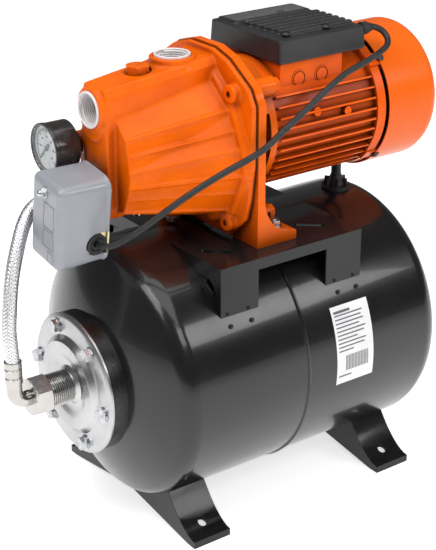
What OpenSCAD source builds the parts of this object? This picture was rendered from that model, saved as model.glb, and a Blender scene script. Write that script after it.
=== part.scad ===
// Pressure booster set: a self-priming jet pump with its motor, standing on a horizontal
// pressure tank, with pressure switch, gauge and hose.
// X runs along the tank and the pump shaft (the suction port faces -X, the fan is at +X),
// Z is up, and Z = 0 is the floor under the tank's feet.  Millimetres.

/* [Tank] */
// Outer radius of the tank
tank_r = 139; // [137:0.5:141]
// Height of the tank's axis above the floor
tank_z = 162; // [160:1:164]
// Thickness of the tank's steel wall
tank_wall = 2; // [1.5:0.5:3]
// Where the straight part of the tank starts, at the flange end
tank_x0 = -110; // [-112:1:-108]
// Where the straight part of the tank ends
tank_x1 = 188; // [187:1:190]
// Radius of the domed ends' knuckle
knuckle_r = 24; // [20:1:28]
// Radius of the domed ends' crown
crown_r = 240; // [230:5:260]
// Radius of the steel flange plate
flange_r = 75; // [74.5:0.5:76]
// Radius of the circle that the six flange bolts sit on
flange_bolt_r = 62.5; // [61:0.5:64]
// Turn of the bolt circle away from the upright
flange_turn = 22; // [0:1:60]

/* [Feet] */
// Length of each foot along the tank
foot_w = 46; // [42:1:50]
// Half of the spread from toe to toe
foot_reach = 123; // [118:1:126]
// Start of the front foot
foot_x0 = -111; // [-113:1:-109]
// Start of the rear foot
foot_x1 = 141; // [139:1:142]
// Distance of the floor bolts from the middle plane
foot_bolt_y = 104; // [100:1:106]

/* [Pump brackets] */
// Top face of the two brackets
deck_z = 300; // [299:0.5:300]
// Sheet thickness of the brackets
sheet = 3; // [2.5:0.5:3]
// Left end of the brackets
deck_x0 = -68; // [-70:1:-66]
// Right end of the brackets
deck_x1 = 114; // [112:1:116]
// Outer face of the brackets, from the middle plane
deck_y = 110; // [108:1:112]

/* [Pump] */
// Height of the pump's and the motor's shaft
shaft_z = 406; // [406:1:406]
// Height of the suction port's axis
suction_z = 449; // [448:1:450]
// Where the discharge port stands along the pump
discharge_x = -47; // [-48:1:-46]
// Bore radius of both ports, the core of a G1 thread
port_bore_r = 15.15; // [14.5:0.05:15.5]
// Radius of the impeller
impeller_r = 52; // [48:0.5:52.5]

/* [Motor] */
// Radius over the motor's cooling fins
fin_r = 72; // [71:0.5:73]
// Number of places for cooling fins round the motor
fin_places = 40; // [36:2:44]
// Outer radius of the fan cover
cover_r = 76; // [75:0.5:77]
// Rear end of the fan cover
cover_end = 252; // [248:1:252]

/* [Terminal box] */
// Top face of the lid
lid_top = 500; // [499:0.5:502]
// Height of the lid
lid_h = 27; // [25:0.5:28]

/* [Pressure switch] */
// Half of the cover's width
switch_hw = 27; // [26:0.5:27.5]
// Half of the cover's length
switch_hl = 45; // [44:0.5:46]
// How far the switch is rolled on its nipple
switch_roll = 8.6; // [7:0.1:9.5]

/* [Gauge] */
// Outer radius of the gauge's case
gauge_r = 26; // [24:0.5:26]

/* [Hose and cable] */
// Radius of the braided hose
hose_r = 7.5; // [7:0.25:7.5]
// Radius of the cable between the terminal box and the switch
cable_r = 3.25; // [3:0.05:3.4]

/* [Hidden] */
$fn = 64;
run = 0.04;   // radial clearance of a running fit
seam_x = 22;  // weld between the two tank halves
orange = "#f0692a";
black = "#151517";
steel = "#c9cbd0";
zinc = "#d9c878";
brass = "#c8a04a";
grey = "#9b9da3";
dark = "#2b2b2e";
rubber = "#1c1c1e";
white = "#eeeae8";

// ---------- helpers ----------
module rod_x(x0, x1, r, y = 0, z = 0)
  translate([x0, y, z]) rotate([0, 90, 0]) cylinder(h = x1 - x0, r = r);
module cone_x(x0, x1, r0, r1, y = 0, z = 0)
  translate([x0, y, z]) rotate([0, 90, 0]) cylinder(h = x1 - x0, r1 = r0, r2 = r1);
module tube_x(x0, x1, r_out, r_in, y = 0, z = 0)
  difference() {
    rod_x(x0, x1, r_out, y, z);
    rod_x(x0 - 1, x1 + 1, r_in, y, z);
  }
module rod_z(z0, z1, r, x = 0, y = 0)
  translate([x, y, z0]) cylinder(h = z1 - z0, r = r);
// box from its low corner to its high corner
module box(lo, hi)
  translate(lo) cube(hi - lo);
// outline in (y, z), extruded along X
module section_x(x0, x1)
  translate([x0, 0, 0]) rotate([90, 0, 90]) linear_extrude(x1 - x0) children();
// outline in (x, z), extruded along Y
module section_y(y0, y1)
  translate([0, y1, 0]) rotate([90, 0, 0]) linear_extrude(y1 - y0) children();
// hexagon along X with turned, chamfered corners
module hex_x(x0, x1, flats, y = 0, z = 0)
  translate([x0, y, z]) rotate([0, 90, 0]) chamfered_hex(x1 - x0, flats);
module hex_z(z0, z1, flats, x = 0, y = 0)
  translate([x, y, z0]) chamfered_hex(z1 - z0, flats);
module chamfered_hex(h, flats) {
  corner = flats / 2 / cos(30);
  cut = (corner - flats / 2) * 0.9;
  intersection() {
    cylinder(h = h, r = corner, $fn = 6);
    rotate_extrude() polygon([[0, 0], [corner - cut, 0], [corner, cut * 0.6],
                              [corner, h - cut * 0.6], [corner - cut, h], [0, h]]);
  }
}
function mirrored(p) =
  concat(p, [for (i = [len(p) - 1:-1:0]) [-p[i][0], p[i][1]]]);

// ---------- tank ----------
crown_angle = asin((tank_r - knuckle_r) / (crown_r - knuckle_r));
crown_back = (crown_r - knuckle_r) * cos(crown_angle);
head_depth = crown_r - crown_back;
neck_r = 52;
neck_out = -tank_x0 + 61.5;   // outer face of the neck ring, from X = 0 towards -X

// half of the tank in (radius, height above the seam), grown inwards by t
module half_outline(len, t) {
  square([tank_r - t, len]);
  translate([tank_r - knuckle_r, len]) circle(knuckle_r - t);
  intersection() {
    translate([0, len - crown_back]) circle(crown_r - t, $fn = 256);
    polygon([[0, len - 20], [(crown_back - 20) * tan(crown_angle), len - 20],
             [2 * crown_r * sin(crown_angle), len - crown_back + 2 * crown_r * cos(crown_angle)],
             [0, len + crown_r]]);
  }
}
module half_shell(len)
  rotate_extrude($fn = 128) difference() {
    half_outline(len, 0);
    translate([0, -1]) square([tank_r - tank_wall, 2]);
    half_outline(len, tank_wall);
  }
module tank_front_shell() color(black)
  translate([seam_x, 0, tank_z]) rotate([0, -90, 0]) difference() {
    half_shell(seam_x - tank_x0);
    translate([0, 0, seam_x - tank_x0]) cylinder(h = 100, r = neck_r);
  }
module tank_rear_shell() color(black)
  translate([seam_x, 0, tank_z]) rotate([0, 90, 0]) difference() {
    union() {
      half_shell(tank_x1 - seam_x);
      rotate_extrude($fn = 128) translate([tank_r, 2.5]) circle(1.6);  // weld bead
    }
    translate([0, 0, tank_x1 - seam_x]) cylinder(h = 100, r = 5);
  }
module tank_neck_ring() color(black)
  translate([tank_x0, 0, tank_z]) rotate([0, -90, 0]) difference() {
    cylinder(h = neck_out + tank_x0, r = flange_r - 1);
    translate([0, 0, -1]) cylinder(h = 100, r = neck_r);
    translate([0, 0, -crown_back]) sphere(crown_r + 0.02, $fn = 256);
    for (i = [0:5]) rotate(i * 60 + flange_turn) translate([flange_bolt_r, 0, 52])
      cylinder(h = 20, r = 4.05);
  }
// rounded cylinder in (radius, height)
module pill_outline(r, len, c) {
  square([r - c, len]);
  translate([0, c]) square([r, len - 2 * c]);
  translate([r - c, c]) circle(c);
  translate([r - c, len - c]) circle(c);
}
bladder_r = 104;
bladder_x0 = -128;
bladder_x1 = 196;
module tank_membrane() color("#3a3a40")
  translate([bladder_x1, 0, tank_z]) rotate([0, -90, 0]) {
    len = bladder_x1 - bladder_x0;
    rim = neck_out + bladder_x1;
    rotate_extrude() difference() {
      union() {
        pill_outline(bladder_r, len, 38);
        translate([0, len - 4]) square([neck_r - 2, rim - len + 4]);
        translate([0, rim]) square([57.8, 3]);
      }
      translate([0, 2]) pill_outline(bladder_r - 2, len - 4, 36);
      translate([-1, len - 8]) square([neck_r - 3, 80]);
      translate([-200, -10]) square([200, 600]);
    }
  }
plate_u = 175.2 + tank_x0 + 110;   // back face of the flange plate's flat ring
module flange_plate() color(steel)
  translate([0, 0, tank_z]) rotate([0, -90, 0]) difference() {
    rotate_extrude() union() {
      polygon([[12, plate_u + 1], [26, plate_u + 1], [38, plate_u + 6],
               [46, plate_u + 6], [52, plate_u], [68.5, plate_u], [flange_r, plate_u - 3],
               [flange_r, plate_u - 0.6], [69.5, plate_u + 2.5], [53, plate_u + 2.5],
               [47, plate_u + 8.5], [37, plate_u + 8.5], [25, plate_u + 3.5],
               [21, plate_u + 3.5], [16.6, plate_u + 7], [16.6, plate_u + 41],
               [12, plate_u + 41]]);
    }
    for (i = [0:5]) rotate(i * 60 + flange_turn) translate([flange_bolt_r, 0, plate_u - 10])
      cylinder(h = 20, r = 4.5);
  }
module flange_bolts() color(steel)
  for (i = [0:5]) {
    a = i * 60 + flange_turn;
    y = flange_bolt_r * sin(a);
    z = tank_z + flange_bolt_r * cos(a);
    tube_x(-plate_u - 4.1, -plate_u - 2.5, 8, 4.02, y, z);
    hex_x(-plate_u - 9.4, -plate_u - 4.1, 13, y, z);
    rod_x(-plate_u - 4.2, -163, 4, y, z);
  }

// ---------- feet ----------
foot_curve_n = 10;
foot_top_y = 76;
function foot_top(t) = [foot_reach - t * (foot_reach - foot_top_y), 8 + 38 * pow(t, 1.8)];
function foot_half(drop, inset) =
  concat([[0, 16 - 20 * inset], [112, 0 - 20 * inset], [foot_reach - inset, 0 - 20 * inset]],
         [for (i = [0:foot_curve_n]) foot_top(i / foot_curve_n) - [inset, drop]],
         [[foot_top_y - 16 - inset, 62], [0, 62]]);
module foot(x0) difference() {
  section_x(x0, x0 + foot_w) polygon(mirrored(foot_half(0, 0)));
  section_x(x0 + 2.5, x0 + foot_w - 2.5) polygon(mirrored(foot_half(2.5, 2.5)));
  rod_x(x0 - 1, x0 + foot_w + 1, tank_r, 0, tank_z, $fn = 256);
  for (s = [-1, 1])
    rod_z(-1, 40, 4.5, x0 + foot_w / 2, s * foot_bolt_y);
}
module front_foot() color(black) foot(foot_x0);
module rear_foot() color(black) foot(foot_x1);

// ---------- air valve at the +X pole ----------
pole_x = tank_x1 + head_depth;
module air_valve() color(brass) difference() {
  union() {
    rod_x(pole_x - 10, pole_x, 4.95, 0, tank_z);
    rod_x(pole_x - 12, pole_x - 10, 8, 0, tank_z);
    rod_x(pole_x, pole_x + 1.5, 7, 0, tank_z);
    rod_x(pole_x, pole_x + 4.4, 3.85, 0, tank_z);
  }
  rod_x(pole_x - 13, pole_x + 6, 2.3, 0, tank_z);
}
module valve_cap() color(dark) difference() {
  union() {
    rod_x(pole_x + 1.7, pole_x + 6, 6.2, 0, tank_z);
    cone_x(pole_x + 6, pole_x + 6.7, 6.2, 5.2, 0, tank_z);
  }
  rod_x(pole_x + 1, pole_x + 4.6, 3.9, 0, tank_z);
}

// ---------- brackets that carry the pump ----------
deck_in = 14;
leg_w = 47;
module bracket() difference() {
  box([deck_x0, -deck_y, tank_z + 60], [deck_x1, -deck_in, deck_z]);
  box([deck_x0 + sheet, -deck_y + sheet, 0], [deck_x1 - sheet, -deck_in + 1, deck_z - sheet]);
  box([deck_x0 + leg_w, -deck_y - 1, 0], [deck_x1 - leg_w, -deck_y + 20, deck_z - 12]);
  box([deck_x0 - 1, -deck_in - 22, 0], [deck_x1 + 1, 0, deck_z - sheet]);
  rod_x(deck_x0 - 1, deck_x1 + 1, tank_r, 0, tank_z, $fn = 256);
  rod_x(seam_x + 0.5, seam_x + 4.5, tank_r + 1.8, 0, tank_z, $fn = 256);   // weld bead
  rod_z(deck_z - 10, deck_z + 1, 4.5, foot_bolt_x, -pump_bolt_y);
  // drain slot in the end wall
  hull() for (d = [-1, 1]) rod_x(deck_x0 - 1, deck_x0 + sheet + 1, 4, -92 + 3 * d, 277 + 2 * d);
  // slots for other pumps' feet
  for (x = [-44, 76]) hull() for (d = [-1, 1])
    rod_z(deck_z - 10, deck_z + 1, 3.5, x + 9 * d, -70 - 8 * d);
}
module near_bracket() color(black) bracket();
module far_bracket() color(black) mirror([0, 1, 0]) bracket();

// ---------- prop under the motor ----------
prop_x = 172;
module motor_prop() color(rubber) difference() {
  union() {
    rod_z(tank_z + tank_r - 6, tank_z + tank_r + 3, 16, prop_x);
    translate([prop_x, 0, tank_z + tank_r + 3]) cylinder(h = 14, r1 = 10, r2 = 5.5);
    rod_z(tank_z + tank_r + 16, shaft_z - 68.2, 5.5, prop_x);
    for (a = [0:60:300]) translate([prop_x, 0, tank_z + tank_r + 3]) rotate(a)
      translate([4, -1, 0]) cube([9, 2, 8]);
  }
  rod_x(prop_x - 40, prop_x + 16, tank_r, 0, tank_z);
}

// ---------- pump casing ----------
flange_x = -7.8;      // back face of the casing's flange
wall = 7;
foot_bolt_x = 28;
pump_bolt_y = 69.5;
casing_bolts_at = [[60, 457], [-60, 457], [55, 321], [-55, 321]];
gauge_at = [40, 404];
switch_at = [-8, 349];
hose_at = [38, 352];
drain_at = [-34, 22];
casing_front = [[14, 449], [40, 424], [46, 393], [46, 378], [34, 350], [12, 341]];
casing_rear = [[26, 470], [60, 441], [78, 404], [82, 378], [60, 335], [26, 318]];
function shrink(p, c, k) = [for (q = p) [q[0] * k, c + (q[1] - c) * k]];
module flange_outline()
  polygon(mirrored([[20, 493], [44, 486], [79, 464], [88, 448], [88, 388], [83, 350],
                    [77, 328], [52, 304], [20, 304]]));
module casing_loft(x0, x1, k)
  hull() {
    section_x(x0, x0 + 1) polygon(mirrored(shrink(casing_front, 396, k)));
    section_x(x1 - 1, x1) polygon(mirrored(shrink(casing_rear, 400, k)));
  }
module pump_casing() color(orange) difference() {
  union() {
    casing_loft(-132, flange_x - 3, 1);
    section_x(flange_x - 6, flange_x) flange_outline();
    box([-139, -24, 346], [-125, 24, 456]);
    // ridge from the suction column to the flange
    hull() {
      box([-139, -24, 430], [-136, 24, 466]);
      box([-136, -22, 430], [-133, 22, 471]);
      box([flange_x - 4, -30, 430], [flange_x - 3, 30, 487]);
    }
    rod_x(-142, -120, 25, 0, suction_z);
    rod_z(450, 486.5, 25, discharge_x);
    rod_z(450, 476, 15, -88);
    rod_x(-139, -118, 13, switch_at[0], switch_at[1]);
    rod_x(-137, -105, 12, hose_at[0], hose_at[1]);
    rod_x(-136, -105, 11, gauge_at[0], gauge_at[1]);
    for (p = casing_bolts_at) rod_x(flange_x - 14, flange_x, 11, p[0], p[1]);
    rod_z(309, 340, 10, drain_at[0], drain_at[1]);
  }
  casing_loft(-108, flange_x + 1, 0.86);
  rod_x(-45, flange_x + 1, diffuser_r + 1, 0, shaft_z);
  // suction chamber behind the front wall
  box([-132, -17, 353], [-115, 17, 464]);
  hull() {
    box([-112, -17, 430], [-110, 17, 462]);
    box([-14, -24, 430], [flange_x + 1, 24, 478]);
  }
  rod_x(-145, -120, 17.6, 0, suction_z);
  rod_z(460, 490, 17.6, discharge_x);
  // priming hole with a spot face for its plug
  rod_z(440, 490, 8.1, -88);
  rod_z(476, 495, 14, -88);
  rod_x(-140, -120, 6.6, switch_at[0], switch_at[1]);
  rod_x(-140, -95, 9.6, hose_at[0], hose_at[1]);
  rod_x(-140, -95, 5.1, gauge_at[0], gauge_at[1]);
  rod_x(-116, -107, 12.05, 0, shaft_z);
  for (p = casing_bolts_at) rod_x(flange_x - 15, flange_x + 1, 4.1, p[0], p[1]);
  rod_z(300, 340, 5.1, drain_at[0], drain_at[1]);
}
module port_inserts() color(white) {
  difference() {
    union() {
      rod_x(-146, -142, 20.5, 0, suction_z);
      rod_x(-142.1, -126, 17.55, 0, suction_z);
    }
    rod_x(-150, -120, port_bore_r, 0, suction_z);
  }
  difference() {
    union() {
      rod_z(486.5, 490.5, 20.5, discharge_x);
      rod_z(470, 486.6, 17.55, discharge_x);
    }
    rod_z(460, 500, port_bore_r, discharge_x);
  }
}
module priming_plug() color(orange) {
  hex_z(477.5, 484, 22, -88);
  rod_z(476, 477.6, 12.5, -88);
  rod_z(461, 476.1, 8.05, -88);
}
module drain_plug() color(steel) {
  hex_z(302.5, 307.5, 14, drain_at[0], drain_at[1]);
  rod_z(307.4, 309, 8.5, drain_at[0], drain_at[1]);
  rod_z(308.9, 322, 5.05, drain_at[0], drain_at[1]);
}
module ejector_nozzle() color(brass) difference() {
  union() {
    rod_x(-116, -106, 12, 0, shaft_z);
    rod_x(-119, -115, 15, 0, shaft_z);
    cone_x(-106, -92, 11, 5, 0, shaft_z);
  }
  cone_x(-119.5, -91.5, 10, 3, 0, shaft_z);
}
module venturi_tube() color(grey) difference() {
  union() {
    rod_x(-100, -50, 15.5, 0, shaft_z);
    rod_x(-60, -54, 18, 0, shaft_z);
  }
  cone_x(-100.5, -88, 13, 8.5, 0, shaft_z);
  cone_x(-88.5, -49.9, 8, 12, 0, shaft_z);
  for (a = [0:120:240]) translate([-94, 0, shaft_z]) rotate([a, 0, 0])
    translate([-4, -3, 6]) cube([8, 6, 20]);
}
diffuser_r = 57.5;
eye_r = 18;    // outside of the impeller's neck
module diffuser() color(dark) difference() {
  union() {
    rod_x(-44, -38, diffuser_r, 0, shaft_z);
    tube_x(-38.1, -21, diffuser_r, impeller_r + 1.5, 0, shaft_z);
    rod_x(-60, -43.9, 22, 0, shaft_z);
  }
  rod_x(-61, -49.9, 15.6, 0, shaft_z);
  rod_x(-60.1, -53.9, 18.05, 0, shaft_z);
  rod_x(-50, -41.9, 14, 0, shaft_z);
  rod_x(-42, -37.9, eye_r + 0.3, 0, shaft_z);
}
module casing_gasket() color(rubber) difference() {
  section_x(flange_x, -7) offset(delta = -1) flange_outline();
  rod_x(-9, -6, 73, 0, shaft_z);
  for (p = casing_bolts_at) rod_x(-9, -6, 4.3, p[0], p[1]);
}
module casing_bolts() color(steel)
  for (p = casing_bolts_at) {
    rod_x(flange_x - 12, 32, 4, p[0], p[1]);
    tube_x(30, 31.6, 8, 4.02, p[0], p[1]);
    hex_x(31.6, 37, 13, p[0], p[1]);
  }

// ---------- lantern: carries the casing, the motor and both on the deck ----------
module lantern_outline()
  polygon(mirrored([[20, 494.5], [44.5, 487.5], [80, 465], [89.5, 449], [89.5, deck_z + 8],
                    [48, deck_z + 8], [40, deck_z + 16], [0, deck_z + 16]]));
module lantern() color(orange) difference() {
  union() {
    section_x(-7, 2) lantern_outline();
    tube_x(1, 33, 69, 58, 0, shaft_z);
    rod_x(26, 33, 60, 0, shaft_z);
    rod_x(14, 27, 26, 0, shaft_z);
    for (p = casing_bolts_at) rod_x(1, 30, 10, p[0], p[1]);
    for (s = [-1, 1]) {
      box([-7, s > 0 ? 48 : -89.5, deck_z], [43, s > 0 ? 89.5 : -48, deck_z + 9]);
      section_y(s > 0 ? 81 : -89.5, s > 0 ? 89.5 : -81) gusset_outline();
      section_y(s > 0 ? 48 : -53, s > 0 ? 53 : -48) gusset_outline();
    }
    for (s = [-1, 1]) section_y(s * 30 - 4, s * 30 + 4)
      polygon([[0, 309], [33, 345], [33, 360], [0, 360]]);
  }
  rod_x(-8, 3, 13.1, 0, shaft_z);
  rod_x(2, 40, 9.5, 0, shaft_z);
  rod_x(16, 34, 20.05, 0, shaft_z);
  // drip windows on both sides
  for (s = [-1, 1]) box([9, s > 0 ? 45 : -95, 356], [25, s > 0 ? 95 : -45, 430]);
  rod_x(2, 14, 57.9, 0, shaft_z);
  for (p = casing_bolts_at) rod_x(-8, 31, 4.3, p[0], p[1]);
  for (s = [-1, 1]) {
    rod_z(deck_z - 1, deck_z + 12, 4.5, foot_bolt_x, s * pump_bolt_y);
    rod_z(deck_z + 9, deck_z + 24, 9.5, foot_bolt_x, s * pump_bolt_y);   // spot face
  }
}
module gusset_outline() difference() {
  translate([0, deck_z + 8]) square([43, 44]);
  translate([43, deck_z + 50]) scale([41, 41]) circle(1);
}
module foot_bolts() color(steel)
  for (s = [-1, 1]) {
    y = s * pump_bolt_y;
    rod_z(deck_z - 11, deck_z + 19, 4, foot_bolt_x, y);
    difference() {
      rod_z(deck_z + 9, deck_z + 11, 9, foot_bolt_x, y);
      rod_z(deck_z + 8, deck_z + 12, 4.02, foot_bolt_x, y);
    }
    hex_z(deck_z + 11, deck_z + 17.5, 13, foot_bolt_x, y);
    hex_z(deck_z - 9, deck_z - sheet, 13, foot_bolt_x, y);
  }

// ---------- rotating parts ----------
shaft_r = 7;
blade_steps = 3;
module impeller() color(brass) difference() {
  union() {
    rod_x(-26, -22.5, impeller_r, 0, shaft_z);
    tube_x(-35, -33, impeller_r, 16, 0, shaft_z);
    tube_x(-41.7, -34, eye_r, 16, 0, shaft_z);
    rod_x(-38, -19.4, 12, 0, shaft_z);
    // swept-back blades between the two plates
    for (a = [0:60:300], k = [0:blade_steps - 1])
      translate([-34, 0, shaft_z]) rotate([a + k * 15, 0, 0]) translate([0, -1.2, 12 + k * 12])
        rotate([36, 0, 0]) cube([9, 2.4, 15]);
  }
  rod_x(-50, -18, shaft_r, 0, shaft_z);
  tube_x(-36, -20, 90, impeller_r, 0, shaft_z);
}
module rotor_shaft() color(steel) {
  rod_x(-38, 14, shaft_r, 0, shaft_z);
  rod_x(14, 38, 8.5, 0, shaft_z);
  rod_x(38, 160, 10, 0, shaft_z);
  rod_x(160, 180, 7.5, 0, shaft_z);
  rod_x(180, 222, 6.5, 0, shaft_z);
}
module seal_head() color(rubber) tube_x(-19.3, -8.3, 11, shaft_r, 0, shaft_z);
module seal_seat() color(white) tube_x(-8, 0, 13, shaft_r + 0.5, 0, shaft_z);
module bearing(x0, x1, r_out, r_in) difference() {
  tube_x(x0, x1, r_out, r_in + run, 0, shaft_z);
  for (x = [x0 - 1, x1 - 1.2]) tube_x(x, x + 2.2, r_out - 3.5, r_in + 3.5, 0, shaft_z);
}
module front_bearing() color(steel) bearing(16, 28, 20, 8.5);
module rear_bearing() color(steel) bearing(164, 175, 17.5, 7.5);
module rotor_core() color("#80848a") {
  tube_x(62, 132, 32, 10, 0, shaft_z);
  tube_x(56, 62, 30, 20, 0, shaft_z);
  tube_x(132, 138, 30, 20, 0, shaft_z);
}
module fan() color(dark) difference() {
  union() {
    rod_x(196, 216, 14, 0, shaft_z);
    rod_x(196, 198, 40, 0, shaft_z);
    for (a = [0:60:300]) translate([197, 0, shaft_z]) rotate([a, 0, 0])
      translate([0, -1.2, 12]) cube([18, 2.4, 46]);
  }
  rod_x(190, 220, 6.5, 0, shaft_z);
}

// ---------- motor ----------
module stator_core() color("#5d6066") difference() {
  rod_x(62, 132, 61.95, 0, shaft_z);
  rod_x(61, 133, 32.5, 0, shaft_z);
  for (a = [0:15:345]) translate([97, 0, shaft_z]) rotate([a, 0, 0])
    translate([-40, -2, 34]) cube([80, 4, 14]);
}
module stator_windings() color("#a65a2e") {
  tube_x(46, 61.9, 52, 34, 0, shaft_z);
  tube_x(132.1, 148, 52, 34, 0, shaft_z);
}
fin_gap_angle = 52;   // half of the top sector kept free of fins
module motor_housing() color(orange) difference() {
  union() {
    rod_x(33.2, 164, 66, 0, shaft_z);
    for (i = [0:fin_places - 1]) {
      a = 360 / fin_places * (i + 0.5);
      if (a > fin_gap_angle && a < 360 - fin_gap_angle)
        translate([36, 0, shaft_z]) rotate([a, 0, 0])
          translate([0, -1, 64]) cube([127, 2, fin_r - 64]);
    }
    box([50, -50, 430], [131, 50, lid_top - lid_h]);
    // bosses on the fins
    for (p = [[84, -13], [124, -8]]) translate([p[0], 0, shaft_z]) rotate([90 + p[1], 0, 0])
      translate([0, 0, 64]) cylinder(h = fin_r - 64.5, r = 4.5);
    // blind knock-outs in the terminal base
    for (x = [74, 104]) translate([x, -50.6, 454]) rotate([-90, 0, 0]) cylinder(h = 2, r = 9);
  }
  rod_x(33, 170, 62, 0, shaft_z);
  rod_z(440, 480, 6, 100, -30);   // wires
  for (p = lid_screw_at) rod_z(lid_screw_end - 0.5, 480, 2.1, p[0], p[1]);
  for (x = [74, 104]) translate([x, -51, 454]) rotate([-90, 0, 0])
    difference() {
      cylinder(h = 1.4, r = 8);
      translate([0, 0, -1]) cylinder(h = 4, r = 6.8);
    }
}
module rear_shield() color(orange) difference() {
  union() {
    rod_x(164.1, 168, 68, 0, shaft_z);
    rod_x(168, 178, 24, 0, shaft_z);
    for (a = [0:60:300]) translate([167, 0, shaft_z]) rotate([a, 0, 0])
      translate([0, -2, 20]) cube([5, 4, 44]);
    // tabs that carry the fan cover
    for (a = [45:90:315]) translate([164.1, 0, shaft_z]) rotate([a, 0, 0])
      translate([0, -7, 60]) cube([22, 14, 14.5]);
  }
  rod_x(163.9, 175, 17.52, 0, shaft_z);
  rod_x(170, 180, 8.5, 0, shaft_z);
  tube_x(170, 190, 60, 26, 0, shaft_z);
  for (a = [45:90:315]) translate([180, 0, shaft_z]) rotate([a, 0, 0])
    translate([0, 0, 60]) cylinder(h = 30, r = 2.05);
}
module fan_cover() color(orange) {
  round_r = 16;
  t = 1.2;
  difference() {
    translate([178, 0, shaft_z]) rotate([0, 90, 0]) rotate_extrude($fn = 128) {
      len = cover_end - 178;
      difference() {
        union() {
          square([cover_r, len - round_r]);
          square([cover_r - round_r, len]);
          translate([cover_r - round_r, len - round_r]) circle(round_r);
        }
        translate([0, -1]) square([cover_r - t, len - round_r + 1]);
        translate([0, -1]) square([cover_r - round_r, len - t + 1]);
        translate([cover_r - round_r, len - round_r]) circle(round_r - t);
        translate([-50, -1]) square([50, 200]);
      }
    }
    // air slots in the end
    for (a = [0:15:345]) translate([cover_end - 5, 0, shaft_z]) rotate([a, 0, 0])
      translate([0, -1.6, 22]) cube([10, 3.2, 32]);
    for (a = [45:90:315]) translate([180 + 0, 0, shaft_z]) rotate([a, 0, 0])
      translate([0, 0, 70]) cylinder(h = 10, r = 2.4);
  }
}
module pan_screw(len, r) {
  cylinder(h = len, r = r);
  rotate_extrude() intersection() {
    translate([0, len - 4]) circle(6.6);
    translate([0, len]) square([r * 2.2, 4]);
  }
}
lid_screw_at = [[66, 23], [66, -38], [118, 36], [118, -38]];
lid_screw_z = lid_top - 2;
lid_screw_end = 466;
module cover_screws() color(steel) {
  for (a = [45:90:315]) translate([180, 0, shaft_z]) rotate([a, 0, 0])
    translate([0, 0, 62]) pan_screw(cover_r - 62, 2);
  for (p = lid_screw_at) translate([p[0], p[1], lid_screw_end])
    pan_screw(lid_screw_z - lid_screw_end, 2);
}

// ---------- terminal box ----------
lid_x0 = 46;
lid_x1 = 160;
lid_y0 = -54;
lid_y1 = 66;
lid_wall = 2.5;
lid_ribs = 6;
module terminal_lid() color(dark) difference() {
  union() {
    box([lid_x0, lid_y0, lid_top - lid_h], [lid_x1, lid_y1, lid_top - 4]);
    box([lid_x0 + 2, lid_y0 + 2, lid_top - 5], [lid_x1 - 2, lid_y1 - 2, lid_screw_z]);
    for (i = [0:lid_ribs - 1])
      box([lid_x0 + 12, lid_y0 + 8 + i * 11, lid_screw_z - 1],
          [lid_x1 - 8, lid_y0 + 14 + i * 11, lid_top]);
    box([lid_x0 + 12, 34, lid_screw_z - 1], [lid_x1 - 8, lid_y1 - 6, lid_top]);
    for (p = lid_screw_at) rod_z(lid_screw_z - 1, lid_screw_z, 5, p[0], p[1]);
  }
  difference() {
    box([lid_x0 + lid_wall, lid_y0 + lid_wall, lid_top - lid_h - 1],
        [lid_x1 - lid_wall, lid_y1 - lid_wall, lid_top - 6]);
    for (p = lid_screw_at) rod_z(lid_top - lid_h, lid_top, 4.5, p[0], p[1]);
  }
  for (p = lid_screw_at) {
    rod_z(lid_top - lid_h - 2, lid_top + 1, 2.1, p[0], p[1]);
    rod_z(lid_screw_z, lid_top + 3, 5.5, p[0], p[1]);
  }
  rod_x(lid_x1 - 7, lid_x1 + 1, 5.05, gland_y, gland_z);
}
module capacitor() color("#d8d6cf") {
  rod_x(76, 112, 9.5, 0, 483);
  rod_x(112, 115, 8, 0, 483);
}
module terminal_block() color("#e6e2d6")
  for (i = [0:2]) difference() {
    box([74, -44 + i * 10, 473.1], [92, -35 + i * 10, 485]);
    for (x = [78.5, 87.5]) rod_z(478, 486, 3, x, -39.5 + i * 10);
  }
gland_y = -44;
gland_z = 491;
module cable_gland() color(black) difference() {
  union() {
    rod_x(lid_x1 - 6, lid_x1, 5, gland_y, gland_z);
    rod_x(lid_x1, lid_x1 + 2, 7, gland_y, gland_z);
    hex_x(lid_x1 + 1.9, lid_x1 + 8, 12.5, gland_y, gland_z);
    cone_x(lid_x1 + 8, lid_x1 + 14, 6, 4.4, gland_y, gland_z);
  }
  rod_x(lid_x1 - 7, lid_x1 + 14.1, cable_r + 0.05, gland_y, gland_z);
}

// ---------- routes of the cable and the hose ----------
cable_route = [[174, -44, 491], [180, -45, 490], [186, -50, 486], [186, -58, 480],
               [178, -66, 475], [162, -72, 471], [138, -77, 466], [114, -80, 461],
               [92, -84, 454], [66, -89, 443], [40, -94, 432], [15, -98, 421],
               [-8, -101, 410], [-31, -102, 403], [-53, -100, 396], [-76, -94, 385],
               [-96, -87, 373], [-114, -78, 359], [-129, -69, 346], [-142, -60, 335],
               [-152, -51, 327], [-158, -42, 324], [-160, -33, 323]];
hose_route = [[-243, 0, 208], [-244, 0, 225], [-244, 1, 243], [-242, 2, 260],
              [-238, 5, 280], [-231, 10, 300], [-221, 17, 319], [-209, 26, 335],
              [-195, 34, 346], [-180, 38, 351], [-165, 38, 352]];
function hermite(p, i, t) =
  let (n = len(p) - 1, a = p[max(i - 1, 0)], b = p[i], c = p[i + 1], d = p[min(i + 2, n)],
       m0 = (c - a) / 2, m1 = (d - b) / 2, t2 = t * t, t3 = t2 * t)
  (2 * t3 - 3 * t2 + 1) * b + (t3 - 2 * t2 + t) * m0 + (3 * t2 - 2 * t3) * c + (t3 - t2) * m1;
function smooth(p, k) =
  concat([for (i = [0:len(p) - 2], j = [0:k - 1]) hermite(p, i, j / k)], [p[len(p) - 1]]);
function unit(v) = v / norm(v);
function tangent(q, i) = unit(q[min(i + 1, len(q) - 1)] - q[max(i - 1, 0)]);
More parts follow.
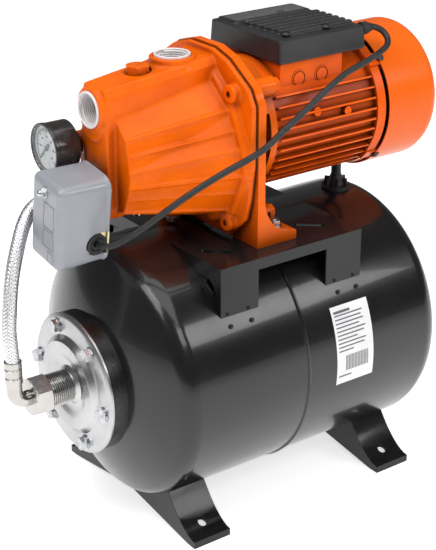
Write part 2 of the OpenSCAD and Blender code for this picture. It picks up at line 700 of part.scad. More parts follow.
module swept_tube(p, r, sides, ref) {
  rings = [for (i = [0:len(p) - 1])
    let (t = tangent(p, i), u = unit(cross(t, ref)), v = cross(t, u))
    [for (s = [0:sides - 1])
      p[i] + r * (cos(s * 360 / sides) * u + sin(s * 360 / sides) * v)]];
  points = [for (ring = rings) for (q = ring) q];
  n = len(p);
  walls = [for (i = [0:n - 2], s = [0:sides - 1])
    let (a = i * sides + s, b = i * sides + (s + 1) % sides)
    [a, a + sides, b + sides, b]];
  start = [for (s = [0:sides - 1]) s];
  stop = [for (s = [sides - 1:-1:0]) (n - 1) * sides + s];
  polyhedron(points, concat(walls, [start], [stop]), convexity = 8);
}
module switch_cable() color(rubber)
  swept_tube(smooth(cable_route, 1), cable_r, 8, [0.3, 1, 0.2]);
module hose_tube() color(steel)
  swept_tube(smooth(hose_route, 2), hose_r, 12, [0, 1, 0]);

// ---------- hose fittings ----------
elbow_r = 12;
hose_x = -243;
module hose_nut() color(steel) difference() {
  hex_x(-227, -209, 38, 0, tank_z);
  rod_x(-221, -200, 16.64, 0, tank_z);
  rod_x(-230, -210, 8.05, 0, tank_z);
}
module hose_elbow() color(steel) {
  tube_x(-221, -217.5, 15, 5.5, 0, tank_z);
  tube_x(hose_x + elbow_r, -220.9, 8, 5.5, 0, tank_z);
  translate([hose_x + elbow_r, 0, tank_z + elbow_r]) rotate([90, 0, 0]) rotate([0, 0, 180])
    rotate_extrude(angle = 90) translate([elbow_r, 0]) difference() {
      circle(8);
      circle(5.5);
    }
  difference() {
    rod_z(tank_z + elbow_r, 184, 8, hose_x);
    rod_z(tank_z, 185, 5.5, hose_x);
  }
}
module ferrule(len) difference() {
  cylinder(h = len, r = 9);
  translate([0, 0, -1]) cylinder(h = len + 2, r = 5);
  for (z = [len * 0.3, len * 0.7]) translate([0, 0, z]) rotate_extrude()
    translate([9.6, 0]) circle(1.3);
}
module hose_ferrules() color(steel) {
  translate([hose_x, 0, 184]) ferrule(24);
  translate([-165, hose_at[0], hose_at[1]]) rotate([0, 90, 0]) ferrule(17);
}
module hose_fitting() color(steel) {
  difference() {
    union() {
      hex_x(-148, -138.5, 24, hose_at[0], hose_at[1]);
      rod_x(-138.6, -137, 12, hose_at[0], hose_at[1]);
      rod_x(-137.1, -122, 9.55, hose_at[0], hose_at[1]);
    }
    rod_x(-150, -120, 5, hose_at[0], hose_at[1]);
  }
}

// ---------- gauge ----------
gauge_face = -174;
gauge_back = -144;
module at_gauge() translate([gauge_face, gauge_at[0], gauge_at[1]]) rotate([0, 90, 0])
  children();
module gauge_case() color(black) at_gauge() difference() {
  union() {
    cylinder(h = gauge_back - gauge_face - 2, r = gauge_r - 0.8);
    cylinder(h = 4, r = gauge_r);
    translate([0, 0, 26]) cylinder(h = 4, r1 = gauge_r - 0.8, r2 = gauge_r - 4);
  }
  translate([0, 0, -1]) cylinder(h = 26, r = gauge_r - 2.6);
  translate([0, 0, 20]) cylinder(h = 12, r = 4.05);
}
module gauge_dial() color(white) at_gauge() difference() {
  translate([0, 0, 5]) cylinder(h = 0.8, r = gauge_r - 2.7);
  translate([0, 0, 4]) cylinder(h = 3, r = 1.2);
}
module gauge_lens() color("#dfe8ee") at_gauge()
  translate([0, 0, 0.6]) cylinder(h = 1.4, r = gauge_r - 2.7);
module gauge_needle() color(black) at_gauge() {
  translate([0, 0, 3]) cylinder(h = 8, r = 1.15);
  translate([0, 0, 3]) cylinder(h = 1.4, r = 2.6);
  // points to zero, at the lower left of the dial
  translate([0, 0, 3.2]) rotate(45) linear_extrude(0.8)
    polygon([[-7, -1.4], [0, -1.2], [18, -0.3], [18, 0.3], [0, 1.2], [-7, 1.4]]);
}
module gauge_stem() color(brass) {
  rod_x(-149, gauge_back, 4, gauge_at[0], gauge_at[1]);
  hex_x(gauge_back, gauge_back + 8, 14, gauge_at[0], gauge_at[1]);
  rod_x(gauge_back + 7.9, -122, 5.05, gauge_at[0], gauge_at[1]);
}

// ---------- pressure switch: local x along the nipple, y across, z along its length ----------
switch_front = -204;
switch_back = -146;
grommet_at = [-160, -22];    // x, and height in the switch's own frame
lever_pivot = [-167, 24];
spring_z = 4;
module at_switch() translate([0, switch_at[0], switch_at[1]]) rotate([switch_roll, 0, 0])
  children();
module switch_block(x0, x1, hw, hl, r) hull()
  for (y = [-1, 1], z = [-1, 1]) {
    translate([x0 + r, y * (hw - r), z * (hl - r)]) sphere(r, $fn = 32);
    translate([x1 - 1, y * (hw - r), z * (hl - r)]) rotate([0, 90, 0])
      cylinder(h = 1, r = r, $fn = 32);
  }
module switch_cover() color(grey) at_switch() difference() {
  switch_block(switch_front, switch_back - 2, switch_hw, switch_hl, 6);
  switch_block(switch_front + 2.5, switch_back + 1, switch_hw - 2.5, switch_hl - 2.5, 4);
  // U-shaped cut-outs round both grommets
  for (s = [-1, 1]) hull() for (x = [0, 30])
    translate([grommet_at[0] + x, s * switch_hw, grommet_at[1]])
      rotate([90, 0, 0]) cylinder(h = 20, r = 12.5, center = true, $fn = 32);
  rod_x(switch_front - 5, switch_front + 5, 2.6, 0, 33);
}
module cover_nut() color(steel) at_switch() {
  rod_x(switch_front - 1.2, switch_front, 5.5, 0, 33);
  hex_x(switch_front - 5, switch_front - 1.1, 8, 0, 33);
  translate([switch_front - 5, 0, 33]) rotate([0, -90, 0]) rotate_extrude() intersection() {
    circle(3.6);
    square(4);
  }
  rod_x(switch_front - 1, switch_back - 2.1, 2.5, 0, 33);
}
module switch_base() color(zinc) at_switch() difference() {
  union() {
    hull() for (y = [-1, 1], z = [-1, 1])
      rod_x(switch_back - 2, switch_back, 12, y * (switch_hw - 12.2), z * (switch_hl - 12.2));
    for (y = [-switch_hw + 3, switch_hw - 4.6])
      box([grommet_at[0] - 14, y, -switch_hl + 13], [switch_back - 1.9, y + 1.6, 0]);
    // stud of the range spring with its adjusting nut
    rod_x(-200, switch_back - 1.9, 2.5, 0, spring_z);
    hex_x(-200.5, -197, 10, 0, spring_z);
    for (y = [-13.6, 12]) box([-171, y, 18], [switch_back - 1.9, y + 1.6, 30]);
  }
  translate([lever_pivot[0], -20, lever_pivot[1]]) rotate([-90, 0, 0]) cylinder(h = 40, r = 2.04);
  translate([grommet_at[0], 0, grommet_at[1]]) rotate([90, 0, 0])
    cylinder(h = 2 * switch_hw + 10, r = 9.05, center = true);
  rod_x(switch_back - 10, switch_back + 5, 6.05, 0, 0);
}
module switch_lever() color(steel) at_switch() difference() {
  union() {
    box([-168, -9, -10], [-166.4, 9, 23.5]);
    translate([lever_pivot[0], -14.5, lever_pivot[1]]) rotate([-90, 0, 0])
      cylinder(h = 29, r = 2);
  }
  rod_x(-170, -165, 4.5, 0, spring_z);
}
module range_spring() color(steel) at_switch() difference() {
  rod_x(-197, -169.4, 7, 0, spring_z);
  rod_x(-198, -168, 5, 0, spring_z);
  // gaps between the turns
  for (i = [0:5]) tube_x(-194 + i * 4.4, -192 + i * 4.4, 8, 6.2, 0, spring_z);
}
module switch_nipple() color(brass) {
  difference() {
    union() {
      rod_x(switch_back - 9, switch_back, 6, switch_at[0], switch_at[1]);
      hex_x(switch_back, -139.1, 17, switch_at[0], switch_at[1]);
      rod_x(-139.2, -126, 6.55, switch_at[0], switch_at[1]);
    }
    rod_x(switch_back - 8, -120, 3, switch_at[0], switch_at[1]);
  }
}
module grommet() difference() {
  union() {
    cylinder(h = 4.4, r = 11);
    cylinder(h = 9, r = 9);
    translate([0, 0, 6.2]) cylinder(h = 2.8, r = 10.5);
  }
  translate([0, 0, -1]) cylinder(h = 12, r = cable_r + 0.05);
  translate([0, 0, -0.1]) cylinder(h = 2.1, r1 = 8, r2 = 6);
}
module switch_grommets() color(rubber) at_switch() {
  for (s = [-1, 1]) translate([grommet_at[0], s * (switch_hw + 1.5), grommet_at[1]])
    rotate([s * 90, 0, 0]) grommet();
}

tank_front_shell();
tank_rear_shell();
tank_neck_ring();
tank_membrane();
flange_plate();
flange_bolts();
hose_nut();
hose_elbow();
hose_ferrules();
hose_tube();
hose_fitting();
front_foot();
rear_foot();
air_valve();
valve_cap();
near_bracket();
far_bracket();
motor_prop();
pump_casing();
port_inserts();
priming_plug();
drain_plug();
ejector_nozzle();
venturi_tube();
diffuser();
casing_gasket();
casing_bolts();
lantern();
foot_bolts();
impeller();
rotor_shaft();
seal_head();
seal_seat();
front_bearing();
rear_bearing();
rotor_core();
stator_core();
stator_windings();
motor_housing();
rear_shield();
fan();
fan_cover();
cover_screws();
terminal_lid();
capacitor();
terminal_block();
cable_gland();
switch_cable();
gauge_case();
gauge_dial();
gauge_lens();
gauge_needle();
gauge_stem();
switch_cover();
cover_nut();
switch_base();
switch_lever();
range_spring();
switch_nipple();
switch_grommets();
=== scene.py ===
"""Looks of a jet pump booster set: a pump and motor on a horizontal pressure tank.

Metres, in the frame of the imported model: +X along the shaft towards the fan, +Z up, floor at 0.
"""
import math

import bmesh
import bpy
from mathutils import Matrix, Vector


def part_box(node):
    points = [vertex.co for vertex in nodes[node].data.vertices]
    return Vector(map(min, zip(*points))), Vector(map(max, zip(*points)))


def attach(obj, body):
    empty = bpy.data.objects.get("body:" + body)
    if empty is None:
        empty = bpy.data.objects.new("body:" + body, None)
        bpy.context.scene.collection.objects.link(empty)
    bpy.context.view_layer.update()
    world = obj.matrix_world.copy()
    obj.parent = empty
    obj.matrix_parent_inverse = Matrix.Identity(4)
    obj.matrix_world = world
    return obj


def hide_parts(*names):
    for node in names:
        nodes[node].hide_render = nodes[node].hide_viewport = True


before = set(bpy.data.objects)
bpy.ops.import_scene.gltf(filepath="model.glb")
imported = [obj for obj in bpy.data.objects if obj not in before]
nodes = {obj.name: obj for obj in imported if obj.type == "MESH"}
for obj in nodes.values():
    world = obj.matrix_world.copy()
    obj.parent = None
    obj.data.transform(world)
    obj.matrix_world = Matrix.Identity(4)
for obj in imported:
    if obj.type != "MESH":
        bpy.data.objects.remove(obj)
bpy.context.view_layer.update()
MM = 0.001
SET = "booster_set"         # the body that everything but the moving pieces rides on

# places shared by several pieces, in millimetres
TANK_Z, TANK_R = 162, 139
SHAFT_Z = 406


# ---------------------------------------------------------------- small helpers
def link(name, mesh, material, body=SET, smooth_angle=35):
    """A new piece from a mesh, shaded smooth up to an angle in degrees, riding on a body."""
    piece = bpy.data.objects.new(name, mesh)
    bpy.context.scene.collection.objects.link(piece)
    mesh.materials.clear()
    mesh.materials.append(material)
    mesh.shade_smooth()
    mesh.set_sharp_from_angle(angle=math.radians(smooth_angle))
    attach(piece, body)
    return piece


def mesh_of(name, points, faces):
    """A mesh from points in metres and faces as tuples of point numbers."""
    mesh = bpy.data.meshes.new(name)
    mesh.from_pydata([tuple(p) for p in points], [], faces)
    mesh.update()
    return mesh


def from_bmesh(name, bm):
    """A mesh from a bmesh, with its normals outwards; the bmesh is freed."""
    mesh = bpy.data.meshes.new(name)
    bmesh.ops.recalc_face_normals(bm, faces=bm.faces)
    bm.to_mesh(mesh)
    bm.free()
    return mesh


# ---------------------------------------------------------------- camera, light, floor
CAMERA_AT = Vector((-0.8426, -1.1617, 0.8744))
CAMERA_TARGET = Vector((0.0108, 0.0022, 0.2339))
LENS_MM = 95.9
SENSOR_MM = 36


def make_camera():
    data = bpy.data.cameras.new("camera")
    data.lens = LENS_MM
    data.sensor_width = SENSOR_MM
    data.clip_start = 0.05
    camera = bpy.data.objects.new("camera", data)
    bpy.context.scene.collection.objects.link(camera)
    camera.location = CAMERA_AT
    camera.rotation_mode = "QUATERNION"
    camera.rotation_quaternion = (CAMERA_TARGET - CAMERA_AT).to_track_quat("-Z", "Y")
    bpy.context.scene.camera = camera


# soft boxes: name, place, point they face, width and height, watts
SOFT_BOXES = [
    ("overhead", (-0.2, -0.2, 2.4), (0, 0, 0), (2.6, 2.2), 40),
    ("left_box", (-1.4, -0.1, 1.75), (0, 0, 0.3), (1.1, 0.8), 13),
    ("front_box", (-0.2, -1.7, 1.6), (0, 0, 0.3), (0.8, 0.6), 7),
    ("right_box", (0.75, -1.05, 1.02), (0, -0.1, 0.2), (0.6, 0.4), 4.5),
]
WORLD_STRENGTH = 0.13
FLOOR_HALF = 7              # half the side of the floor, in metres
FLOOR_GREY = 0.92
FLOOR_ROUGHNESS = 0.7
FLOOR_GLOW = 0.7            # keeps the floor pale where the soft boxes don't reach


def area_light(name, place, aim, size, watts):
    data = bpy.data.lights.new(name, "AREA")
    data.shape = "RECTANGLE"
    data.size, data.size_y = size
    data.energy = watts
    light = bpy.data.objects.new(name, data)
    bpy.context.scene.collection.objects.link(light)
    light.location = place
    light.rotation_euler = (Vector(aim) - Vector(place)).to_track_quat("-Z", "Y").to_euler()


def make_world():
    """Dim surroundings, so that only the soft boxes and the floor show in the glossy paint."""
    world = bpy.data.worlds.new("studio")
    bpy.context.scene.world = world
    world.use_nodes = True
    background = world.node_tree.nodes["Background"]
    background.inputs["Color"].default_value = (1, 1, 1, 1)
    background.inputs["Strength"].default_value = WORLD_STRENGTH


def make_floor():
    bm = bmesh.new()
    bmesh.ops.create_grid(bm, x_segments=2, y_segments=2, size=FLOOR_HALF)
    floor = bpy.data.objects.new("floor", from_bmesh("floor", bm))
    bpy.context.scene.collection.objects.link(floor)
    pale = bpy.data.materials.new("floor")
    pale.use_nodes = True
    shader = pale.node_tree.nodes["Principled BSDF"]
    shader.inputs["Base Color"].default_value = (FLOOR_GREY, FLOOR_GREY, FLOOR_GREY, 1)
    shader.inputs["Roughness"].default_value = FLOOR_ROUGHNESS
    shader.inputs["Emission Color"].default_value = (1, 1, 1, 1)
    shader.inputs["Emission Strength"].default_value = FLOOR_GLOW
    floor.data.materials.append(pale)


def make_studio():
    make_world()
    for soft_box in SOFT_BOXES:
        area_light(*soft_box)
    make_floor()
    view = bpy.context.scene.view_settings
    view.view_transform = "Standard"
    view.look = "None"
    view.exposure = 0


# ---------------------------------------------------------------- materials
NOISE_BAND = (0.35, 0.65)   # the part of a noise's range that most of its values fall in
MIX_A, MIX_B, MIX_RESULT = 6, 7, 2      # the colour sockets of a Mix node
AO_BAND = (0.25, 0.95)      # openness that counts as fully shaded and as fully open


class Surface:
    """A Principled material with named helpers for procedural detail.

    A noise's scale is in features for each metre, and a bump's depth in metres.
    """

    def __init__(self, name, colour, roughness, metallic=0.0, coat=0.0, coat_roughness=0.1,
                 specular=0.5):
        self.material = bpy.data.materials.new(name)
        self.material.use_nodes = True
        self.tree = self.material.node_tree
        self.shader = self.tree.nodes["Principled BSDF"]
        self.set("Base Color", (*colour, 1))
        self.set("Roughness", roughness)
        self.set("Metallic", metallic)
        self.set("Coat Weight", coat)
        self.set("Coat Roughness", coat_roughness)
        self.set("Specular IOR Level", specular)
        self.place = self.add("ShaderNodeTexCoord").outputs["Object"]
        self.normal = None

    def set(self, socket, value):
        self.shader.inputs[socket].default_value = value

    def add(self, kind, **values):
        """A new node; each value goes to the socket of that name, or else to the node."""
        node = self.tree.nodes.new(kind)
        for key, value in values.items():
            if key in node.inputs:
                node.inputs[key].default_value = value
            else:
                setattr(node, key, value)
        return node

    def join(self, out, into):
        self.tree.links.new(out, into)

    def noise(self, scale, detail, rough=0.55):
        node = self.add("ShaderNodeTexNoise", Scale=scale, Detail=detail, Roughness=rough)
        self.join(self.place, node.inputs["Vector"])
        return node.outputs["Fac"]

    def paint_crevice_shade(self, reach, darkest):
        """Painted shade: the base colour darkened in grooves and between fins by ambient occlusion;
        comes after vary_colour.
        """
        shade_in = self.add("ShaderNodeAmbientOcclusion", samples=8)
        shade_in.inputs["Distance"].default_value = reach
        paint = self.shader.inputs["Base Color"].links[0].from_socket
        mix = self.add("ShaderNodeMix", data_type="RGBA", blend_type="MULTIPLY")
        mix.inputs["Factor"].default_value = 1
        self.join(paint, mix.inputs[MIX_A])
        self.join(self.spread(shade_in.outputs["AO"], darkest, 1, *AO_BAND), mix.inputs[MIX_B])
        self.join(mix.outputs[MIX_RESULT], self.shader.inputs["Base Color"])
        return self

    def rings(self, height, scale):
        """Turning marks round the line along X at that height."""
        place = self.add("ShaderNodeMapping")
        place.inputs["Location"].default_value = (0, 0, -height)
        self.join(self.place, place.inputs["Vector"])
        node = self.add("ShaderNodeTexWave", wave_type="RINGS", rings_direction="X", Scale=scale,
                        Distortion=2.0, Detail=3.0)
        self.join(place.outputs["Vector"], node.inputs["Vector"])
        return node.outputs["Fac"]

    def spread(self, fac, low, high, start=NOISE_BAND[0], end=NOISE_BAND[1]):
        """fac's band from start to end, stretched to run from low to high."""
        node = self.add("ShaderNodeMapRange")
        ends = {"From Min": start, "From Max": end, "To Min": low, "To Max": high}
        for key, value in ends.items():
            node.inputs[key].default_value = value
        self.join(fac, node.inputs["Value"])
        return node.outputs["Result"]

    def vary_colour(self, fac, low, high):
        """The base colour runs between low and high with fac."""
        mix = self.add("ShaderNodeMix", data_type="RGBA")
        self.join(self.spread(fac, 0, 1), mix.inputs["Factor"])
        mix.inputs[MIX_A].default_value = (*low, 1)
        mix.inputs[MIX_B].default_value = (*high, 1)
        self.join(mix.outputs[MIX_RESULT], self.shader.inputs["Base Color"])
        return self

    def vary_roughness(self, fac, low, high):
        self.join(self.spread(fac, low, high), self.shader.inputs["Roughness"])
        return self

    def bump(self, height, depth, strength):
        """Several bumps add up."""
        node = self.add("ShaderNodeBump", Strength=strength, Distance=depth)
        self.join(height, node.inputs["Height"])
        if self.normal is not None:
            self.join(self.normal, node.inputs["Normal"])
        self.normal = node.outputs["Normal"]
        self.join(self.normal, self.shader.inputs["Normal"])
        return self


def shade(colour, factor):
    return tuple(c * factor for c in colour)


def painted_cast(name="orange_cast", reach=0.025):
    """Glossy orange enamel over sand-cast iron, with painted shade in its corners; reach is how
    wide that painted shade is.
    """
    orange = (0.88, 0.125, 0.0005)
    s = Surface(name, orange, 0.3, coat=0.05, coat_roughness=0.1, specular=0.14)
    s.vary_colour(s.noise(18, 4), shade(orange, 0.9), (0.94, 0.15, 0.001))
    # painted shade in the casting's corners and grooves
    s.paint_crevice_shade(reach, 0.2)
    s.vary_roughness(s.noise(60, 5), 0.24, 0.4)
    s.bump(s.noise(420, 3, 0.6), 0.0003, 0.6)
    s.bump(s.noise(45, 2), 0.0006, 0.35)
    return s.material


def painted_motor():
    """The same enamel over smoother pressure-cast aluminium, with painted shade between its fins.
    """
    orange = (0.83, 0.1, 0.002)
    s = Surface("orange_motor", orange, 0.34, coat=0.05, coat_roughness=0.12, specular=0.15)
    s.vary_colour(s.noise(25, 3), shade(orange, 0.9), (0.9, 0.125, 0.003))
    # painted shade between the fins and in the grooves
    s.paint_crevice_shade(0.012, 0.1)
    s.vary_roughness(s.noise(90, 4), 0.28, 0.44)
    s.bump(s.noise(600, 2), 0.00008, 0.5)
    return s.material


def painted_sheet():
    """Smooth orange enamel on drawn sheet, with a faint orange peel."""
    orange = (0.86, 0.13, 0.006)
    s = Surface("orange_sheet", orange, 0.34, coat=0.08, coat_roughness=0.15, specular=0.18)
    s.vary_colour(s.noise(8, 2), shade(orange, 0.96), (0.89, 0.145, 0.01))
    s.vary_roughness(s.noise(24, 2), 0.28, 0.33)
    s.bump(s.noise(150, 1), 0.00004, 0.4)
    return s.material


def tank_paint():
    """Deep glossy black enamel on a slightly wavy shell."""
    black = (0.008, 0.008, 0.009)
    s = Surface("tank_paint", black, 0.2, coat=0.35, coat_roughness=0.06, specular=0.35)
    s.vary_colour(s.noise(6, 2), shade(black, 0.75), (0.012, 0.012, 0.013))
    s.vary_roughness(s.noise(30, 2), 0.2, 0.25)
    s.bump(s.noise(190, 1), 0.00001, 0.3)
    s.bump(s.noise(9, 1), 0.0004, 0.2)
    return s.material


def bracket_paint():
    """Thinner black enamel on pressed steel."""
    black = (0.009, 0.009, 0.01)
    s = Surface("bracket_paint", black, 0.26, coat=0.08, coat_roughness=0.1, specular=0.28)
    s.vary_colour(s.noise(12, 3), shade(black, 0.8), (0.014, 0.014, 0.015))
    s.vary_roughness(s.noise(24, 2), 0.13, 0.18)
    s.bump(s.noise(150, 1), 0.00003, 0.4)
    s.bump(s.noise(22, 1), 0.0003, 0.2)
    return s.material


def galvanised():
    """Bright zinc plate with soft spangle and fine turning marks."""
    s = Surface("galvanised", (0.46, 0.463, 0.465), 0.3, metallic=1.0)
    s.vary_colour(s.noise(25, 4), (0.42, 0.423, 0.426), (0.5, 0.503, 0.506))
    s.vary_roughness(s.noise(40, 4), 0.27, 0.34)
    s.bump(s.rings(TANK_Z * MM, 260), 0.00001, 0.5)
    s.bump(s.noise(900, 3), 0.000012, 0.5)
    return s.material


def nickel():
    """Nickel plate on turned brass."""
    s = Surface("nickel", (0.48, 0.465, 0.445), 0.2, metallic=1.0)
    s.vary_colour(s.noise(40, 2), (0.45, 0.435, 0.415), (0.51, 0.495, 0.475))
    s.vary_roughness(s.noise(120, 3), 0.16, 0.24)
    s.bump(s.noise(700, 3), 0.00001, 0.5)
    return s.material


def braid_wire():
    """Drawn stainless wire in the hose's braid."""
    s = Surface("braid_wire", (0.86, 0.86, 0.87), 0.32, metallic=1.0)
    s.vary_colour(s.noise(420, 2), (0.76, 0.76, 0.78), (0.93, 0.93, 0.94))
    s.vary_roughness(s.noise(900, 2), 0.24, 0.42)
    return s.material


def zinc_bolt():
    """Zinc-plated steel, a little cloudy."""
    s = Surface("zinc_bolt", (0.5, 0.505, 0.52), 0.3, metallic=1.0)
    s.vary_colour(s.noise(130, 3), (0.4, 0.405, 0.42), (0.58, 0.585, 0.6))
    s.vary_roughness(s.noise(300, 4), 0.22, 0.42)
    s.bump(s.noise(700, 3), 0.00003, 0.5)
    return s.material


def yellow_zinc():
    """Yellow passivated zinc with its faint rainbow."""
    s = Surface("yellow_zinc", (0.8, 0.68, 0.36), 0.3, metallic=1.0)
    s.vary_colour(s.noise(45, 4), (0.74, 0.58, 0.24), (0.86, 0.8, 0.56))
    s.vary_roughness(s.noise(220, 4), 0.22, 0.38)
    return s.material


def black_rubber(name="black_rubber", grey=0.018):
    """Matt black rubber or soft PVC."""
    s = Surface(name, (grey, grey, grey * 1.05), 0.55)
    s.vary_colour(s.noise(60, 4), shade((grey,) * 3, 0.8), shade((grey,) * 3, 1.4))
    s.vary_roughness(s.noise(150, 4), 0.45, 0.65)
    s.bump(s.noise(900, 2), 0.00005, 0.5)
    return s.material


def moulded_black():
    """Black glass-filled nylon with a spark-eroded texture, and painted shade in its grooves."""
    s = Surface("moulded_black", (0.024, 0.023, 0.025), 0.36)
    s.vary_colour(s.noise(30, 3), (0.02, 0.019, 0.021), (0.029, 0.028, 0.03))
    s.vary_roughness(s.noise(200, 3), 0.34, 0.46)
    s.bump(s.noise(1100, 2), 0.00003, 0.5)
    # painted shade in the lid's grooves and corners
    s.paint_crevice_shade(0.006, 0.2)
    return s.material


def gauge_black():
    """Stoved black lacquer of the gauge case."""
    s = Surface("gauge_black", (0.022, 0.018, 0.018), 0.25, coat=0.3)
    s.vary_colour(s.noise(40, 3), (0.017, 0.014, 0.014), (0.03, 0.026, 0.025))
    s.vary_roughness(s.noise(160, 3), 0.2, 0.32)
    s.bump(s.noise(500, 1), 0.00003, 0.5)
    return s.material


def switch_grey():
    """Grey semi-gloss lacquer of the switch cover."""
    grey = (0.3, 0.31, 0.345)
    s = Surface("switch_grey", grey, 0.3, coat=0.25, coat_roughness=0.15)
    s.vary_colour(s.noise(20, 3), shade(grey, 0.94), shade(grey, 1.07))
    s.vary_roughness(s.noise(24, 2), 0.28, 0.33)
    s.bump(s.noise(150, 1), 0.00002, 0.4)
    return s.material


def white_plastic():
    """Slightly translucent white plastic of the port inserts."""
    s = Surface("white_plastic", (0.82, 0.77, 0.77), 0.35)
    s.set("Subsurface Weight", 0.15)
    s.set("Subsurface Radius", (0.004, 0.003, 0.003))
    s.vary_colour(s.noise(80, 3), (0.76, 0.71, 0.71), (0.86, 0.82, 0.82))
    s.vary_roughness(s.noise(200, 3), 0.28, 0.42)
    return s.material


def simple(name, colour, roughness, metallic=0.0):
    """Inner pieces: a plain stock with some grain."""
    s = Surface(name, colour, roughness, metallic=metallic)
    s.vary_colour(s.noise(90, 4), shade(colour, 0.82), shade(colour, 1.1))
    s.vary_roughness(s.noise(240, 4), roughness * 0.8, min(1.0, roughness * 1.3))
    s.bump(s.noise(500, 3), 0.00004, 0.5)
    return s.material


def lens_glass():
    """Clear pane of the gauge."""
    s = Surface("lens", (0.96, 0.98, 1.0), 0.03)
    s.set("Transmission Weight", 1.0)
    s.set("IOR", 1.3)
    s.vary_roughness(s.noise(40, 3), 0.02, 0.05)
    return s.material


def paper():
    """Coated white paper of the label."""
    s = Surface("paper", (0.82, 0.82, 0.82), 0.45, coat=0.2, coat_roughness=0.3)
    s.vary_colour(s.noise(30, 3), (0.78, 0.78, 0.79), (0.86, 0.86, 0.86))
    s.vary_roughness(s.noise(300, 3), 0.4, 0.5)
    return s.material


# one material for each kind of surface
MAT = {
    # the lantern's paint has a wider painted shade, which darkens the inside of its windows
    "cast": painted_cast(), "lantern": painted_cast("orange_lantern", 0.07),
    "motor": painted_motor(), "sheet": painted_sheet(),
    "tank": tank_paint(), "bracket": bracket_paint(), "zinc": galvanised(),
    "nickel": nickel(), "braid": braid_wire(), "bolt": zinc_bolt(),
    "yellow": yellow_zinc(), "rubber": black_rubber(),
    "cable": black_rubber("cable_sheath", 0.013), "black": moulded_black(),
    "gauge": gauge_black(), "switch": switch_grey(), "white": white_plastic(),
    "brass": simple("brass", (0.72, 0.52, 0.22), 0.3, 1.0),
    "steel": simple("steel", (0.6, 0.61, 0.63), 0.3, 1.0),
    "iron": simple("laminations", (0.2, 0.2, 0.22), 0.55, 0.6),
    "copper": simple("copper", (0.62, 0.27, 0.12), 0.35, 0.8),
    "ceramic": simple("ceramic", (0.75, 0.73, 0.68), 0.3),
    "dial": simple("dial_card", (0.85, 0.85, 0.84), 0.6),
    "ink": simple("dial_ink", (0.02, 0.02, 0.02), 0.6),
    "paper": paper(), "print": simple("label_print", (0.12, 0.12, 0.13), 0.6),
    "ring": simple("ring_paint", (0.006, 0.006, 0.007), 0.32),
    "dark_bolt": simple("dark_bolt", (0.03, 0.03, 0.032), 0.4),
    "panel": simple("lid_panel", (0.1, 0.1, 0.104), 0.24),
    # the shadow colour is painted shade, for the discs deep in the ports
    "lens": lens_glass(), "shadow": simple("port_painted_shade", (0.12, 0.1, 0.11), 0.6),
}
# the CAD nodes that each material dresses
LOOK = {
    "tank": ["tank_front_shell", "tank_rear_shell"], "ring": ["tank_neck_ring"],
    "bracket": ["front_foot", "rear_foot", "near_bracket", "far_bracket"],
    "zinc": ["flange_plate"],
    "bolt": ["flange_bolts", "foot_bolts", "cover_nut", "drain_plug"],
    "dark_bolt": ["cover_screws"],
    "nickel": ["hose_nut", "hose_elbow", "hose_ferrules", "hose_fitting"],
    "braid": ["hose_tube"],
    "brass": ["air_valve", "ejector_nozzle", "impeller", "gauge_stem", "switch_nipple"],
    "cast": ["pump_casing", "priming_plug", "casing_bolts"],
    "lantern": ["lantern"],
    "motor": ["motor_housing", "rear_shield"],
    "sheet": ["fan_cover"],
    "rubber": ["tank_membrane", "motor_prop", "casing_gasket", "seal_head", "switch_grommets",
               "cable_gland"],
    "cable": ["switch_cable"],
    "black": ["terminal_lid", "fan", "diffuser", "venturi_tube", "valve_cap"],
    "white": ["port_inserts", "capacitor"],
    "gauge": ["gauge_case", "gauge_needle"],
    "dial": ["gauge_dial"],
    "lens": ["gauge_lens"],
    "ceramic": ["seal_seat", "terminal_block"],
    "steel": ["rotor_shaft", "front_bearing", "rear_bearing", "switch_lever", "range_spring"],
    "iron": ["rotor_core", "stator_core"],
    "copper": ["stator_windings"],
    "yellow": ["switch_base"],
    "switch": ["switch_cover"],
}
# edge rounding in mm of the CAD nodes that show
ROUND = {
    "tank_front_shell": 0, "tank_rear_shell": 0, "tank_neck_ring": 0.5, "flange_plate": 0.4,
    "flange_bolts": 0.5, "front_foot": 1.6, "rear_foot": 1.6, "near_bracket": 1.2,
    "far_bracket": 1.2, "pump_casing": 1.5, "lantern": 1.3, "motor_housing": 0.7,
    "rear_shield": 0.5, "fan_cover": 0.5, "terminal_lid": 1.6, "switch_cover": 0.5,
    "switch_base": 0.4, "priming_plug": 0.8, "port_inserts": 0.4, "foot_bolts": 0.6,
    "hose_nut": 0.6, "hose_elbow": 0.4, "gauge_case": 0.6, "motor_prop": 0.7,
    "cable_gland": 0.6, "cover_nut": 0.4, "hose_ferrules": 0.4, "hose_fitting": 0.5,
}
PLAIN_ROUND = 0.25          # rounding of the others, in mm
SHARP_DEGREES = 32          # an edge that turns by more is rounded
WELD_GAP = 0.00001          # points closer than this many metres are one
# nodes whose flats must stay flat in the shading
HEXAGONS = ["hose_nut", "flange_bolts", "foot_bolts", "priming_plug", "drain_plug", "hose_fitting"]


def soften(node, width):
    """Rounded edges and smooth shading on a CAD node, with modifiers only."""
    obj = nodes[node]
    weld = obj.modifiers.new("weld", "WELD")
    weld.merge_threshold = WELD_GAP
    if width:
        bevel = obj.modifiers.new("bevel", "BEVEL")
        bevel.width = width * MM
        bevel.segments = 2
        bevel.limit_method = "ANGLE"
        bevel.angle_limit = math.radians(SHARP_DEGREES)
        bevel.use_clamp_overlap = True
        bevel.harden_normals = node in HEXAGONS
    mesh = obj.data
    if "custom_normal" in mesh.attributes:
        mesh.attributes.remove(mesh.attributes["custom_normal"])
    mesh.shade_smooth()
    if node not in HEXAGONS:
        normals = obj.modifiers.new("normals", "WEIGHTED_NORMAL")
        normals.keep_sharp = False
        normals.weight = 50


def dress_cad_nodes():
    for look, names in LOOK.items():
        for name in names:
            mesh = nodes[name].data
            mesh.materials.clear()
            mesh.materials.append(MAT[look])
            soften(name, ROUND.get(name, PLAIN_ROUND))


